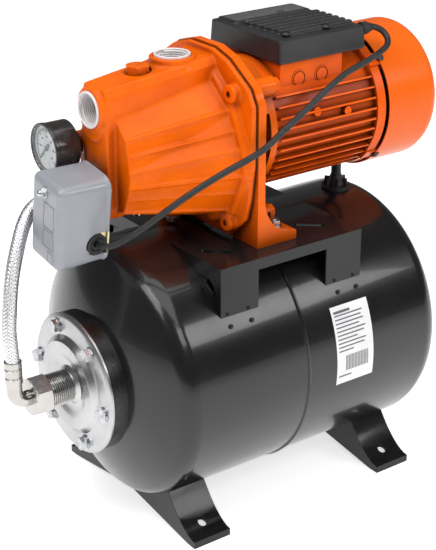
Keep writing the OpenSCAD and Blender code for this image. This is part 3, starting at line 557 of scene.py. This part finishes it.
# ---------------------------------------------------------------- cords
# routes in millimetres, as in the part's source
CABLE_ROUTE = [
    (174, -44, 491), (180, -45, 490), (186, -50, 486), (186, -58, 480), (178, -66, 475),
    (162, -72, 471), (138, -77, 466), (114, -80, 461), (92, -84, 454), (66, -89, 443),
    (40, -94, 432), (15, -98, 421), (-8, -101, 410), (-31, -102, 403), (-53, -100, 396),
    (-76, -94, 385), (-96, -87, 373), (-114, -78, 359), (-129, -69, 346), (-142, -60, 335),
    (-152, -51, 327), (-158, -42, 324), (-160, -33, 323)]
HOSE_ROUTE = [
    (-243, 0, 208), (-244, 0, 225), (-244, 1, 243), (-242, 2, 260), (-238, 5, 280),
    (-231, 10, 300), (-221, 17, 319), (-209, 26, 335), (-195, 34, 346), (-180, 38, 351),
    (-165, 38, 352)]
CABLE_RADIUS = 3.25 * MM
HOSE_RADIUS = 7.5 * MM          # over the braid
LINER_RADIUS = 0.9 * HOSE_RADIUS
CABLE_STEPS, HOSE_STEPS = 6, 14     # points for each stretch of a route


def smooth_route(points, steps):
    """Points in metres along a Catmull-Rom curve through the route's points in millimetres."""
    p = [Vector(q) * MM for q in points]
    out = []
    for i in range(len(p) - 1):
        a, b, c, d = p[max(i - 1, 0)], p[i], p[i + 1], p[min(i + 2, len(p) - 1)]
        m0, m1 = (c - a) / 2, (d - b) / 2
        for k in range(steps):
            t = k / steps
            out.append((2 * t**3 - 3 * t**2 + 1) * b + (t**3 - 2 * t**2 + t) * m0
                       + (3 * t**2 - 2 * t**3) * c + (t**3 - t**2) * m1)
    return out + [p[-1]]


def frames_along(line):
    """Tangent and two normals at each point, carried along without twist."""
    out = []
    side = None
    for i, p in enumerate(line):
        t = (line[min(i + 1, len(line) - 1)] - line[max(i - 1, 0)]).normalized()
        if side is None:
            side = t.orthogonal().normalized()
        side = (side - side.dot(t) * t).normalized()
        out.append((p, t, side, t.cross(side)))
    return out


def sweep(name, line, r, sides):
    """A closed round bar of radius r along a line."""
    points, faces = [], []
    for p, _, u, v in frames_along(line):
        points += [p + r * (math.cos(a) * u + math.sin(a) * v)
                   for a in (2 * math.pi * k / sides for k in range(sides))]
    for i in range(len(line) - 1):
        for k in range(sides):
            a, b = i * sides + k, i * sides + (k + 1) % sides
            faces.append((a, b, b + sides, a + sides))
    faces.append(tuple(range(sides - 1, -1, -1)))
    faces.append(tuple((len(line) - 1) * sides + k for k in range(sides)))
    return mesh_of(name, points, faces)


def make_cable():
    line = smooth_route(CABLE_ROUTE, CABLE_STEPS)
    cable = link("switch_cable_sheath", sweep("switch_cable_sheath", line, CABLE_RADIUS, 20),
                 MAT["cable"])
    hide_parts("switch_cable")


STRANDS = 11            # each way round
WIRES = 3               # wires side by side in a strand
WIRE_SIDES = 5
BRAID_PITCH = 0.04      # length in which a strand goes once round
# the wires cover half of the way round, and overlap a little; in wire widths: depth of a
# wire's centre under the braid's outside, its rise and fall where strands cross, its thickness
WIRE_WIDTH = 1.2 * 2 * math.pi * HOSE_RADIUS / STRANDS / 2 / WIRES
WIRE_DEPTH, WIRE_LIFT, WIRE_THICKNESS = 0.75, 0.3, 0.8


def braid_mesh(line):
    """Flat strands of wires that wind both ways round the hose and pass over and under."""
    frames = frames_along(line)
    lengths = [0.0]
    for a, b in zip(line, line[1:]):
        lengths.append(lengths[-1] + (b - a).length)
    wire, sides = WIRE_WIDTH, WIRE_SIDES
    points, faces = [], []
    for way in (1, -1):
        for strand in range(STRANDS):
            for w in range(WIRES):
                first = len(points)
                shift = (w - (WIRES - 1) / 2) * wire / HOSE_RADIUS
                for (p, t, u, v), s in zip(frames, lengths):
                    turn = 2 * math.pi * s / BRAID_PITCH
                    angle = 2 * math.pi * strand / STRANDS + way * turn + shift
                    lift = math.cos(STRANDS * angle * 0.5 - way * STRANDS * turn)
                    r = HOSE_RADIUS - WIRE_DEPTH * wire + WIRE_LIFT * wire * lift * way
                    out = math.cos(angle) * u + math.sin(angle) * v
                    around = -math.sin(angle) * u + math.cos(angle) * v
                    circumference = 2 * math.pi * HOSE_RADIUS
                    along = (t * BRAID_PITCH + around * way * circumference).normalized()
                    across = along.cross(out)
                    c = p + out * r
                    for b in (2 * math.pi * k / sides for k in range(sides)):
                        thick = math.cos(b) * out * WIRE_THICKNESS
                        points.append(c + 0.5 * wire * (thick + math.sin(b) * across))
                for i in range(len(line) - 1):
                    for k in range(sides):
                        a = first + i * sides + k
                        b = first + i * sides + (k + 1) % sides
                        faces.append((a, b, b + sides, a + sides))
    return mesh_of("hose_braid", points, faces)


def make_hose():
    line = smooth_route(HOSE_ROUTE, HOSE_STEPS)
    braid = link("hose_braid", braid_mesh(line), MAT["braid"], smooth_angle=80)
    core = link("hose_liner", sweep("hose_liner", line, LINER_RADIUS, 20), MAT["ring"])
    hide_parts("hose_tube")


# ---------------------------------------------------------------- cast and moulded pieces
def prism(axis, outline, a, b):
    """A closed prism: the outline's points in the other two axes, swept from a to b, in mm."""
    return loft(axis, outline, a, outline, b)


def loft(axis, outline_a, a, outline_b, b):
    """A closed solid from one outline at a to another, with as many points, at b, in mm."""
    n = len(outline_a)
    place = {"x": lambda u, v, w: (w, u, v), "y": lambda u, v, w: (u, w, v),
             "z": lambda u, v, w: (u, v, w)}[axis]
    points = [Vector(place(u, v, a)) * MM for u, v in outline_a]
    points += [Vector(place(u, v, b)) * MM for u, v in outline_b]
    faces = [(i, (i + 1) % n, n + (i + 1) % n, n + i) for i in range(n)]
    return points, faces + [tuple(range(n - 1, -1, -1)), tuple(range(n, 2 * n))]


def disc(u, v, r, sides=48):
    """Outline of a circle round (u, v)."""
    return [(u + r * math.cos(2 * math.pi * k / sides), v + r * math.sin(2 * math.pi * k / sides))
            for k in range(sides)]


def rounded(u0, v0, u1, v1, r, steps=6):
    """Outline of a rectangle with round corners."""
    out = []
    for cu, cv, start in ((u1 - r, v1 - r, 0), (u0 + r, v1 - r, 90), (u0 + r, v0 + r, 180),
                          (u1 - r, v0 + r, 270)):
        for k in range(steps + 1):
            a = math.radians(start + 90 * k / steps)
            out.append((cu + r * math.cos(a), cv + r * math.sin(a)))
    return out


def both_sides(half):
    """An outline from its right half, mirrored in the first coordinate."""
    return half + [(-u, v) for u, v in reversed(half)]


def bar(points_mm, r):
    """A closed round bar through points, as a solid; points and radius in mm."""
    mesh = sweep("bar", [Vector(p) * MM for p in points_mm], r * MM, 14)
    out = [v.co.copy() for v in mesh.vertices], [tuple(f.vertices) for f in mesh.polygons]
    bpy.data.meshes.remove(mesh)
    return out


def ball(p, r):
    """A closed ball round a point, in mm."""
    bm = bmesh.new()
    bmesh.ops.create_uvsphere(bm, u_segments=16, v_segments=10, radius=r * MM,
                              matrix=Matrix.Translation(Vector(p) * MM))
    out = [v.co.copy() for v in bm.verts], [tuple(v.index for v in f.verts) for f in bm.faces]
    bm.free()
    return out


def gather(name, solids):
    """One mesh from several solids, each given as points in metres and faces."""
    points, faces = [], []
    for p, f in solids:
        first = len(points)
        points += p
        faces += [tuple(first + i for i in face) for face in f]
    bm = bmesh.new()
    mesh = mesh_of(name, points, faces)
    bm.from_mesh(mesh)
    bpy.data.meshes.remove(mesh)
    bmesh.ops.remove_doubles(bm, verts=bm.verts, dist=WELD_GAP / 2)
    return from_bmesh(name, bm)


def baked(obj):
    """The object's mesh with its modifiers applied; the object goes."""
    bpy.context.view_layer.update()
    mesh = bpy.data.meshes.new_from_object(obj.evaluated_get(bpy.context.evaluated_depsgraph_get()))
    bpy.data.objects.remove(obj)
    return mesh


def scratch(name, mesh):
    """An object that is only needed while a mesh is made."""
    obj = bpy.data.objects.new(name, mesh)
    bpy.context.scene.collection.objects.link(obj)
    return obj


def cast(name, solids, voxel, melt, holes=()):
    """One skin round the solids with its edges melted round, and holes cut in it.

    voxel is the skin's grid in mm, and melt the number of rounds of smoothing.
    """
    obj = scratch(name, gather(name, solids))
    skin = obj.modifiers.new("skin", "REMESH")
    skin.mode = "VOXEL"
    skin.voxel_size = voxel * MM
    soft = obj.modifiers.new("melt", "SMOOTH")
    soft.factor = 0.5
    soft.iterations = melt
    mesh = baked(obj)
    for hole in holes:
        obj = scratch(name, mesh)
        cutter = scratch("cutter", gather("cutter", [hole]))
        cut = obj.modifiers.new("cut", "BOOLEAN")
        cut.operation = "DIFFERENCE"
        cut.object = cutter
        cut.solver = "EXACT"
        mesh = baked(obj)
        bpy.data.objects.remove(cutter)
    mesh.name = name
    return mesh


# the casing in mm: right halves of its outlines in (y, z), as in the part's source
CASING_FRONT = [(14, 449), (40, 424), (46, 393), (46, 378), (34, 350), (12, 341)]
CASING_REAR = [(26, 470), (60, 441), (78, 404), (82, 378), (60, 335), (26, 318)]
FLANGE = [(20, 493), (44, 486), (79, 464), (88, 448), (88, 388), (83, 350), (77, 328), (52, 304),
          (20, 304)]
# places along X: the flange's face, the body's ends, the pad in front of the body
FLANGE_X = -7.8
FLANGE_THICKNESS = 6
BODY_X0, BODY_X1 = -129, FLANGE_X - 3
NOSE_X = -139
# ports: height of the suction port, places of the discharge port and the plug along X
SUCTION_Z, DISCHARGE_X, PLUG_X = 449, -47, -88
SUCTION_RIM_X, DISCHARGE_RIM_Z, PLUG_SEAT_Z = -144.6, 487.5, 475.9
PORT_RING_R, PORT_WALL = 18.5, 3.8
PLUG_SEAT_R = 14
# (y, z) of the bosses that carry the switch, the gauge and the hose, and of the four bolts
SWITCH_AT, GAUGE_AT, HOSE_AT = (-8, 349), (40, 404), (38, 352)
CASING_BOLTS = [(60, 457), (-60, 457), (55, 321), (-55, 321)]
DRAIN_AT = (-34, 22)            # (x, y) of the drain plug underneath
RIDGE_R, LINE_R, COLLAR_R = 2.6, 1.5, 6.5
BOLT_BOSS_R, BOLT_DIMPLE_R = 9.6, 3.4
CASING_VOXEL, CASING_MELT = 1.15, 5


def halfway(outline, a, b):
    """The point between two points of an outline."""
    return [(outline[a][k] + outline[b][k]) / 2 for k in (0, 1)]


def casing_ridges(side):
    """The cast ridges of one side of the body, and the collar where it meets the flange."""
    out = []
    for corner in (1, 2, 3, 4):
        (fy, fz), (ry, rz) = CASING_FRONT[corner], CASING_REAR[corner]
        start = (BODY_X0 + 1, side * (fy - 1.2), fz)
        out += [bar([start, (BODY_X1, side * (ry - 1.2), rz)], RIDGE_R), ball(start, RIDGE_R)]
    # thin lines on the flats between
    for a, b in ((1, 2), (3, 4)):
        fy, fz = halfway(CASING_FRONT, a, b)
        ry, rz = halfway(CASING_REAR, a, b)
        out.append(bar([(BODY_X0 + 2, side * (fy + 0.2), fz), (BODY_X1, side * (ry + 0.2), rz)],
                       LINE_R))
    collar = [(BODY_X1 - 4, side * y, z) for y, z in CASING_REAR]
    return out + [bar(collar, COLLAR_R)] + [ball(p, COLLAR_R) for p in collar]


def make_casing():
    """The pump casing as one casting with rounded edges; each boss reaches well into the body."""
    deep_x, deep_z = -120, 450
    suction_r, discharge_r = PORT_RING_R + PORT_WALL, PORT_RING_R + 4.7
    solids = [
        # body, flange, the pad behind the switch and the ridge that carries the ports
        loft("x", both_sides(CASING_FRONT), BODY_X0, both_sides(CASING_REAR), BODY_X1),
        prism("x", both_sides(FLANGE), FLANGE_X - 0.5 - FLANGE_THICKNESS, FLANGE_X - 0.5),
        prism("x", rounded(-22, 345, 24, 460, 5), NOSE_X, deep_x),
        loft("x", both_sides([(22, 430), (22, 461), (18, 471)]), NOSE_X + 0.4,
             both_sides([(30, 430), (30, 480), (24, 487)]), BODY_X1),
        # suction port and the swelling below it
        prism("x", disc(0, SUCTION_Z, suction_r), SUCTION_RIM_X, deep_x),
        prism("x", disc(0, SUCTION_Z - 14, 18.5), SUCTION_RIM_X + 2.4, deep_x),
        # discharge port with its shoulder, and the plug's boss
        prism("z", disc(DISCHARGE_X, 0, discharge_r), deep_z, DISCHARGE_RIM_Z),
        prism("z", disc(DISCHARGE_X, 0, 26), deep_z, DISCHARGE_RIM_Z - 6.5),
        prism("z", disc(PLUG_X, 0, PLUG_SEAT_R + 1.5), deep_z, PLUG_SEAT_Z + 0.6),
        # bosses of the switch, the hose, the gauge and the drain plug
        prism("x", disc(*SWITCH_AT, 13), NOSE_X + 0.1, -118),
        prism("x", disc(*HOSE_AT, 12), NOSE_X + 2, -105),
        prism("x", disc(*GAUGE_AT, 11), NOSE_X + 3, -105),
        prism("z", disc(*DRAIN_AT, 10), 309, 340),
    ]
    for side in (-1, 1):
        solids += casing_ridges(side)
    holes = [
        prism("x", disc(0, SUCTION_Z, PORT_RING_R), -160, -122),
        prism("z", disc(DISCHARGE_X, 0, PORT_RING_R), 452, 500),
        prism("z", disc(PLUG_X, 0, PLUG_SEAT_R), PLUG_SEAT_Z, 500),
    ]
    for y, z in CASING_BOLTS:
        solids.append(prism("x", disc(y, z, BOLT_BOSS_R), FLANGE_X - 15, FLANGE_X - 2))
        holes.append(prism("x", disc(y, z, BOLT_DIMPLE_R, 24), -40, FLANGE_X - 11.8))
    mesh = cast("casing_casting", solids, CASING_VOXEL, CASING_MELT, holes)
    piece = link("casing_casting", mesh, MAT["cast"], smooth_angle=40)
    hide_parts("pump_casing")


THREAD_PITCH = 2.309        # 11 threads per inch, as on G1 and on the tank's nipple
INSERT_DEPTH = 22
INSERT_ROOT_R, INSERT_CREST_R = 16.65, 15.3


def screw_thread(r_root, r_crest, start, end, steps=36):
    """A helical ridge round X, inside a bore when r_crest is smaller than r_root."""
    pitch = THREAD_PITCH
    count = int((end - start) / pitch * steps)
    profile = [(-0.42, r_root), (-0.12, r_crest), (0.12, r_crest), (0.42, r_root)]
    points, faces = [], []
    for i in range(count + 1):
        a = 2 * math.pi * i / steps
        x = start + (end - start) * i / count
        for shift, r in profile:
            points.append(Vector((x + shift * pitch, r * math.cos(a), r * math.sin(a))) * MM)
    m = len(profile)
    for i in range(count):
        for k in range(m - 1):
            a = i * m + k
            faces.append((a, a + 1, a + m + 1, a + m))
    return points, faces


def turned_x(profile, sides=72):
    """A closed turned ring round X from an outline of (x, r)."""
    n = len(profile)
    points, faces = [], []
    for k in range(sides):
        a = 2 * math.pi * k / sides
        points += [Vector((x, r * math.cos(a), r * math.sin(a))) * MM for x, r in profile]
    for k in range(sides):
        for i in range(n):
            a, b = k * n + i, k * n + (i + 1) % n
            c = ((k + 1) % sides) * n
            faces.append((a, b, c + (i + 1) % n, c + i))
    return points, faces


def moved(solid, matrix):
    """The solid in another place."""
    points, faces = solid
    return [matrix @ p for p in points], faces


def make_ports():
    """The white threaded inserts: a thin ring each, with the thread inside and a painted-shade disc
    at the bottom.
    """
    depth = INSERT_DEPTH
    ring = turned_x([(-1.4, 15.9), (-2, 16.6), (-2, 18.0), (-1.6, PORT_RING_R - 0.1),
                     (depth, PORT_RING_R - 0.1), (depth, 16.6), (0, 16.6)])
    thread = screw_thread(INSERT_ROOT_R, INSERT_CREST_R, 0.6, depth - 2)
    base = turned_x([(depth - 1, 0.02), (depth - 1, 16.7), (depth, 16.7), (depth, 0.02)])
    suction = Matrix.Translation(Vector((SUCTION_RIM_X + 0.2, 0, SUCTION_Z)) * MM)
    discharge = (Matrix.Translation(Vector((DISCHARGE_X, 0, DISCHARGE_RIM_Z + 0.1)) * MM)
                 @ Matrix.Rotation(math.radians(90), 4, "Y"))
    solids, floors = [], []
    for place in (suction, discharge):
        solids += [moved(ring, place), moved(thread, place)]
        floors.append(moved(base, place))
    piece = link("port_inserts_threaded", gather("port_inserts_threaded", solids), MAT["white"])
    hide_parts("port_inserts")
    # dark discs at the ports' bottoms: painted shade for the dark depth of each port
    back = link("port_painted_shades", gather("port_painted_shades", floors), MAT["shadow"])


# the terminal box's lid, and (x, y) of its screws
LID = {"x0": 46, "x1": 160, "y0": -54, "y1": 66, "z0": 473, "top": 500}
LID_SCREWS = [(66, 23), (66, -38), (118, 36), (118, -38)]
SCREW_WELL_R, SCREW_HEAD_R = 4.6, 3.6
LOUVRES, LOUVRE_PITCH, LOUVRE_HALF = 6, 10.4, 3.3
LOUVRE_X0, LOUVRE_Y0 = 66, -35


def make_lid():
    """The moulded lid: tapered sides, a raised plate on its far part and louvres along X."""
    x0, x1, y0, y1, z0, top = (LID[k] for k in ("x0", "x1", "y0", "y1", "z0", "top"))

    def plan(inset, r):
        return rounded(x0 + inset, y0 + inset, x1 - inset, y1 - inset, r)

    solids = [
        loft("z", plan(0, 3.5), z0, plan(1.2, 3.5), top - 4),
        loft("z", plan(1.2, 3.5), top - 4.2, plan(2.4, 4), top - 3.6),
        prism("z", rounded(x0 + 8, 30, x1 - 6, y1 - 4, 3), top - 5, top - 1.4),
    ]
    for i in range(LOUVRES):
        y = LOUVRE_Y0 + LOUVRE_PITCH * i
        section = rounded(y - LOUVRE_HALF, top - 8, y + LOUVRE_HALF, top + 0.3, 1.3)
        solids.append(prism("x", section, LOUVRE_X0 - i, x1 - 6))
    holes = [prism("z", disc(x, y, SCREW_WELL_R, 24), top - 2.6, top + 3) for x, y in LID_SCREWS]
    holes.append(prism("z", rounded(x0 + 3.5, y0 + 3.5, x1 - 3.5, y1 - 3.5, 4), z0 - 5, z0 + 8))
    mesh = cast("lid_moulding", solids, 0.8, 2, holes)
    piece = link("lid_moulding", mesh, MAT["black"], smooth_angle=45)
    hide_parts("terminal_lid")
    # a smooth inlay on the raised plate
    inlay = prism("z", rounded(x0 + 12, 34, x1 - 10, y1 - 8, 2), top - 1.6, top - 1.1)
    piece = link("lid_panel", gather("lid_panel", [inlay]), MAT["panel"])


# the switch cover: its ends along X, half its width and length, and its lean in degrees
SWITCH = {"front": -204, "back": -148, "hw": 27, "hl": 45, "roll": 8.6}
GROMMET_AT = (-160, -22)        # (x, z) in the switch's own frame, on both sides
COVER_WALL = 2.2
FRAME_GROOVE_R = 0.75
# thin pressed frames on the front, as (y0, z0, y1, z1)
FRONT_FRAMES = [(-17, -24, 1, -6), (-17, -3, 1, 23), (-17, -39, -8, -28)]
at_switch = (Matrix.Translation(Vector((0, *SWITCH_AT)) * MM)
             @ Matrix.Rotation(math.radians(SWITCH["roll"]), 4, "X"))


def hull(balls):
    """The convex hull round balls given as (centre, radius)."""
    bm = bmesh.new()
    for centre_at, r in balls:
        bmesh.ops.create_uvsphere(bm, u_segments=28, v_segments=16, radius=r * MM,
                                  matrix=Matrix.Translation(Vector(centre_at) * MM))
    result = bmesh.ops.convex_hull(bm, input=bm.verts)
    inside = [v for v in result["geom_interior"] if isinstance(v, bmesh.types.BMVert)]
    bmesh.ops.delete(bm, geom=inside, context="VERTS")
    bm.verts.index_update()
    out = [v.co.copy() for v in bm.verts], [tuple(v.index for v in f.verts) for f in bm.faces]
    bm.free()
    return out


def cover_block(front, back, hw, hl, r_front, r_back):
    """The drawn cover: soft edges in front and wide round corners at its open end."""
    balls = []
    for y in (-1, 1):
        for z in (-1, 1):
            balls.append(((front + r_front, y * (hw - r_front), z * (hl - r_front)), r_front))
            for x in (front + 0.45 * (back - front), back + r_back):
                balls.append(((x, y * (hw - r_back), z * (hl - r_back)), r_back))
    return hull(balls)


def make_switch_cover():
    """The drawn cover, hollow, with a beaded rim, a slot for each grommet and pressed frames."""
    front, back, hw, hl = (SWITCH[k] for k in ("front", "back", "hw", "hl"))
    solids = [moved(cover_block(front, back, hw, hl, 8, 12), at_switch)]
    rim = [(back - 0.2, y, z) for y, z in rounded(-hw - 0.2, -hl - 0.2, hw + 0.2, hl + 0.2, 12)]
    solids.append(moved(bar(rim + rim[:2], 1.5), at_switch))
    wall = COVER_WALL
    inside = cover_block(front + wall, back + 30, hw - wall, hl - wall, 6, 10)
    holes = [moved(inside, at_switch),
             moved(prism("x", rounded(-60, -60, 60, 60, 5), back + 1.3, back + 60), at_switch)]
    # the grommets' slots: a half circle that opens at the cover's back
    (gx, gz), slot_r = GROMMET_AT, 12
    slot = [(gx + slot_r * math.cos(a), gz + slot_r * math.sin(a))
            for a in (math.radians(90 + 10 * k) for k in range(19))]
    slot += [(back + 9, gz - slot_r), (back + 9, gz + slot_r)]
    for side in (-1, 1):
        holes.append(moved(prism("y", slot, side * hw - 8, side * hw + 8), at_switch))
    for y0, z0, y1, z1 in FRONT_FRAMES:
        lines = [[(front, y, z0 - 0.6), (front, y, z1 + 0.6)] for y in (y0, y1)]
        lines += [[(front, y0 - 0.6, z), (front, y1 + 0.6, z)] for z in (z0, z1)]
        holes += [moved(bar(line, FRAME_GROOVE_R), at_switch) for line in lines]
    mesh = cast("switch_cover_pressing", solids, 0.8, 3, holes)
    piece = link("switch_cover_pressing", mesh, MAT["switch"], smooth_angle=50)
    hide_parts("switch_cover")


# ---------------------------------------------------------------- small pieces
PATCH_THICKNESS = 0.12


def on_tank(x, degrees, out=0.0):
    """A point on the tank's round wall, degrees from the top towards -Y."""
    a = math.radians(degrees)
    r = TANK_R + out
    return Vector((x, -r * math.sin(a), TANK_Z + r * math.cos(a))) * MM


def tank_patch(x0, x1, a0, a1, out, steps=12):
    """A thin closed patch on the tank's wall, from a0 to a1 degrees from the top."""
    rows = []
    for lift in (out, out + PATCH_THICKNESS):
        for i in range(steps + 1):
            a = a0 + (a1 - a0) * i / steps
            rows.append([on_tank(x0, a, lift), on_tank(x1, a, lift)])
    points = [p for row in rows for p in row]
    n = steps + 1
    faces = []
    for i in range(steps):
        a, b = 2 * i, 2 * (n + i)
        faces += [(a, a + 1, a + 3, a + 2), (b, b + 2, b + 3, b + 1), (a, a + 2, b + 2, b),
                  (a + 1, b + 1, b + 3, a + 3)]
    a, b = 2 * steps, 2 * (n + steps)
    return points, faces + [(0, 2 * n, 2 * n + 1, 1), (a, a + 1, b + 1, b)]


LABEL_X = (62, 112)
LABEL_DEGREES = (62, 97.5)      # from the top of the tank
LABEL_MARGIN = 3
LABEL_LIFT, PRINT_LIFT = 0.1, 0.24
# the label's bars: share of its width for each, the pitch and height of a bar in degrees
BAR_SHARES = [0.5, 0.86, 0.8, 0.84, 0.7, 0.88, 0.82, 0.6, 0.85, 0.8, 0.45]
BAR_PITCH, BAR_HEIGHT, HEADING_HEIGHT = 1.75, 0.55, 1.1
STRIPES, STRIPE_PITCH, STRIPE_DEGREES = 22, 1.4, (84.5, 91.5)


def make_label():
    """A blank sticker with grey bars for its lines and a block of stripes, no text."""
    (x0, x1), (a0, a1) = LABEL_X, LABEL_DEGREES
    sheet = gather("tank_label", [tank_patch(x0, x1, a0, a1, LABEL_LIFT)])
    sheet = link("tank_label", sheet, MAT["paper"])
    lines = []
    left, width = x0 + LABEL_MARGIN, x1 - x0 - 2 * LABEL_MARGIN
    for i, share in enumerate(BAR_SHARES):
        a = a0 + 2.2 + i * BAR_PITCH
        height = HEADING_HEIGHT if i == 0 else BAR_HEIGHT
        lines.append(tank_patch(left, left + width * share, a, a + height, PRINT_LIFT))
    for i in range(STRIPES):
        x = x0 + 12 + i * STRIPE_PITCH
        lines.append(tank_patch(x, x + (0.9 if i % 3 == 0 else 0.5), *STRIPE_DEGREES, PRINT_LIFT))
    lines.append(tank_patch(left, x0 + 20, 93.5, 94.1, PRINT_LIFT))
    bars = link("label_bars", gather("label_bars", lines), MAT["print"])


DIAL_START, DIAL_SWEEP = -135, 270      # degrees from the top
TICKS, TICKS_TO_MAJOR, ARC_STEPS = 60, 10, 40
TICK_END_R, ARC_R, BLOCK_R = 19.6, 20, 11.8
MAJOR_TICK = (15.2, 0.5)                # inner radius and half width
MINOR_TICK = (17.4, 0.22)
BLOCK_HALF = (1.5, 0.9)
INK_THICKNESS = 0.1


def dial_angle(share):
    return math.radians(DIAL_START + DIAL_SWEEP * share)


def make_gauge_marks():
    """Ticks over three quarters of a turn, and a plain block where a number would be."""
    cy, cz = GAUGE_AT
    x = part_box("gauge_dial")[0][0] / MM - 0.15
    ticks = []
    for i in range(TICKS + 1):
        a = dial_angle(i / TICKS)
        cos_a, sin_a = math.cos(a), math.sin(a)
        major = i % TICKS_TO_MAJOR == 0
        inner, half = MAJOR_TICK if major else MINOR_TICK
        corners = [(inner, -half), (TICK_END_R, -half), (TICK_END_R, half), (inner, half)]
        outline = [(cy + r * sin_a + w * cos_a, cz + r * cos_a - w * sin_a) for r, w in corners]
        ticks.append(prism("x", outline, x, x + INK_THICKNESS))
        if major:
            u, v = BLOCK_HALF
            outline = [(cy + BLOCK_R * sin_a + du, cz + BLOCK_R * cos_a + dv)
                       for du, dv in ((-u, -v), (u, -v), (u, v), (-u, v))]
            ticks.append(prism("x", outline, x, x + INK_THICKNESS))
    angles = [dial_angle(i / ARC_STEPS) for i in range(ARC_STEPS + 1)]
    arc = [(x + INK_THICKNESS / 2, cy + ARC_R * math.sin(a), cz + ARC_R * math.cos(a))
           for a in angles]
    ticks.append(bar(arc, 0.18))
    marks = link("dial_marks", gather("dial_marks", ticks), MAT["ink"])


NIPPLE_ROOT_R, NIPPLE_CREST_R = 16.3, 17.6
HUB_DEPTH = 33.5        # from the nipple's end to the plate's hub


def make_nipple_thread():
    """The pipe thread on the tank plate's nipple, between the plate and the hose nut."""
    place = Matrix.Translation(Vector((0, 0, TANK_Z)) * MM)
    hub_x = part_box("flange_plate")[0][0] / MM + HUB_DEPTH
    nut_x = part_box("hose_nut")[1][0] / MM + 0.8
    thread = moved(screw_thread(NIPPLE_ROOT_R, NIPPLE_CREST_R, nut_x, hub_x), place)
    piece = link("nipple_thread", gather("nipple_thread", [thread]), MAT["nickel"], smooth_angle=25)


WELD_X = (-60, -34, 79, 104)
TANK_WELD_DEGREES, TANK_WELD_R = 56.5, 2.6
LEG_FACE_Y, LEG_WELD_Z, LEG_WELD_R = 110.2, TANK_Z + 88, 1.9


def make_welds():
    """Projection welds: bumps on the tank below each bracket leg, and on the legs themselves."""
    spots = []
    for side in (1, -1):
        for x in WELD_X:
            spots.append(ball(tuple(on_tank(x, side * TANK_WELD_DEGREES, 0.4) / MM), TANK_WELD_R))
            spots.append(ball((x, -side * LEG_FACE_Y, LEG_WELD_Z), LEG_WELD_R))
    mesh = cast("weld_spots", spots, 0.7, 1)
    piece = link("weld_spots", mesh, MAT["bracket"], smooth_angle=60)


RIM_X0, RIM_R0, RIM_R1 = 164.2, 66, 73.6      # its start along X, its bore, its largest radius
# the dark disc behind the fan cover's slots, painted shade: its place along X, its thickness, its
# radii
SHADE_DISC_X, SHADE_DISC_THICKNESS, SHADE_DISC_R = 247.6, 0.8, (9, 62)


def make_motor_end():
    """The raised rim of the motor's rear shield, and a dark disc behind the cover's slots: painted
    shade for the dark inside of the cover.
    """
    place = Matrix.Translation(Vector((0, 0, SHAFT_Z)) * MM)
    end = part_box("fan_cover")[0][0] / MM - 2.8
    rim = turned_x([(RIM_X0, RIM_R0), (RIM_X0, RIM_R1 - 1), (end - 0.8, RIM_R1),
                    (end, RIM_R1 - 0.8), (end, RIM_R0)], 96)
    piece = link("shield_rim", gather("shield_rim", [moved(rim, place)]), MAT["motor"])
    (r0, r1), shade_disc_end = SHADE_DISC_R, SHADE_DISC_X + SHADE_DISC_THICKNESS
    shade_disc = turned_x([(SHADE_DISC_X, r0), (SHADE_DISC_X, r1), (shade_disc_end, r1), (shade_disc_end, r0)])
    piece = link("cover_shade_disc", gather("cover_shade_disc", [moved(shade_disc, place)]), MAT["ring"])


def make_lid_screw():
    """The bright head in the one lid screw's well that shows it; the other wells are dark."""
    x, y = LID_SCREWS[0]
    top = LID["top"]
    head = gather("lid_screw_head",
                  [prism("z", disc(x, y, SCREW_HEAD_R, 24), top - 0.8, top + 0.4)])
    piece = link("lid_screw_head", head, MAT["bolt"])


make_camera()
make_studio()
make_cable()
make_hose()
dress_cad_nodes()
make_casing()
make_ports()
make_lid()
make_switch_cover()
make_label()
make_gauge_marks()
make_nipple_thread()
make_welds()
make_motor_end()
make_lid_screw()
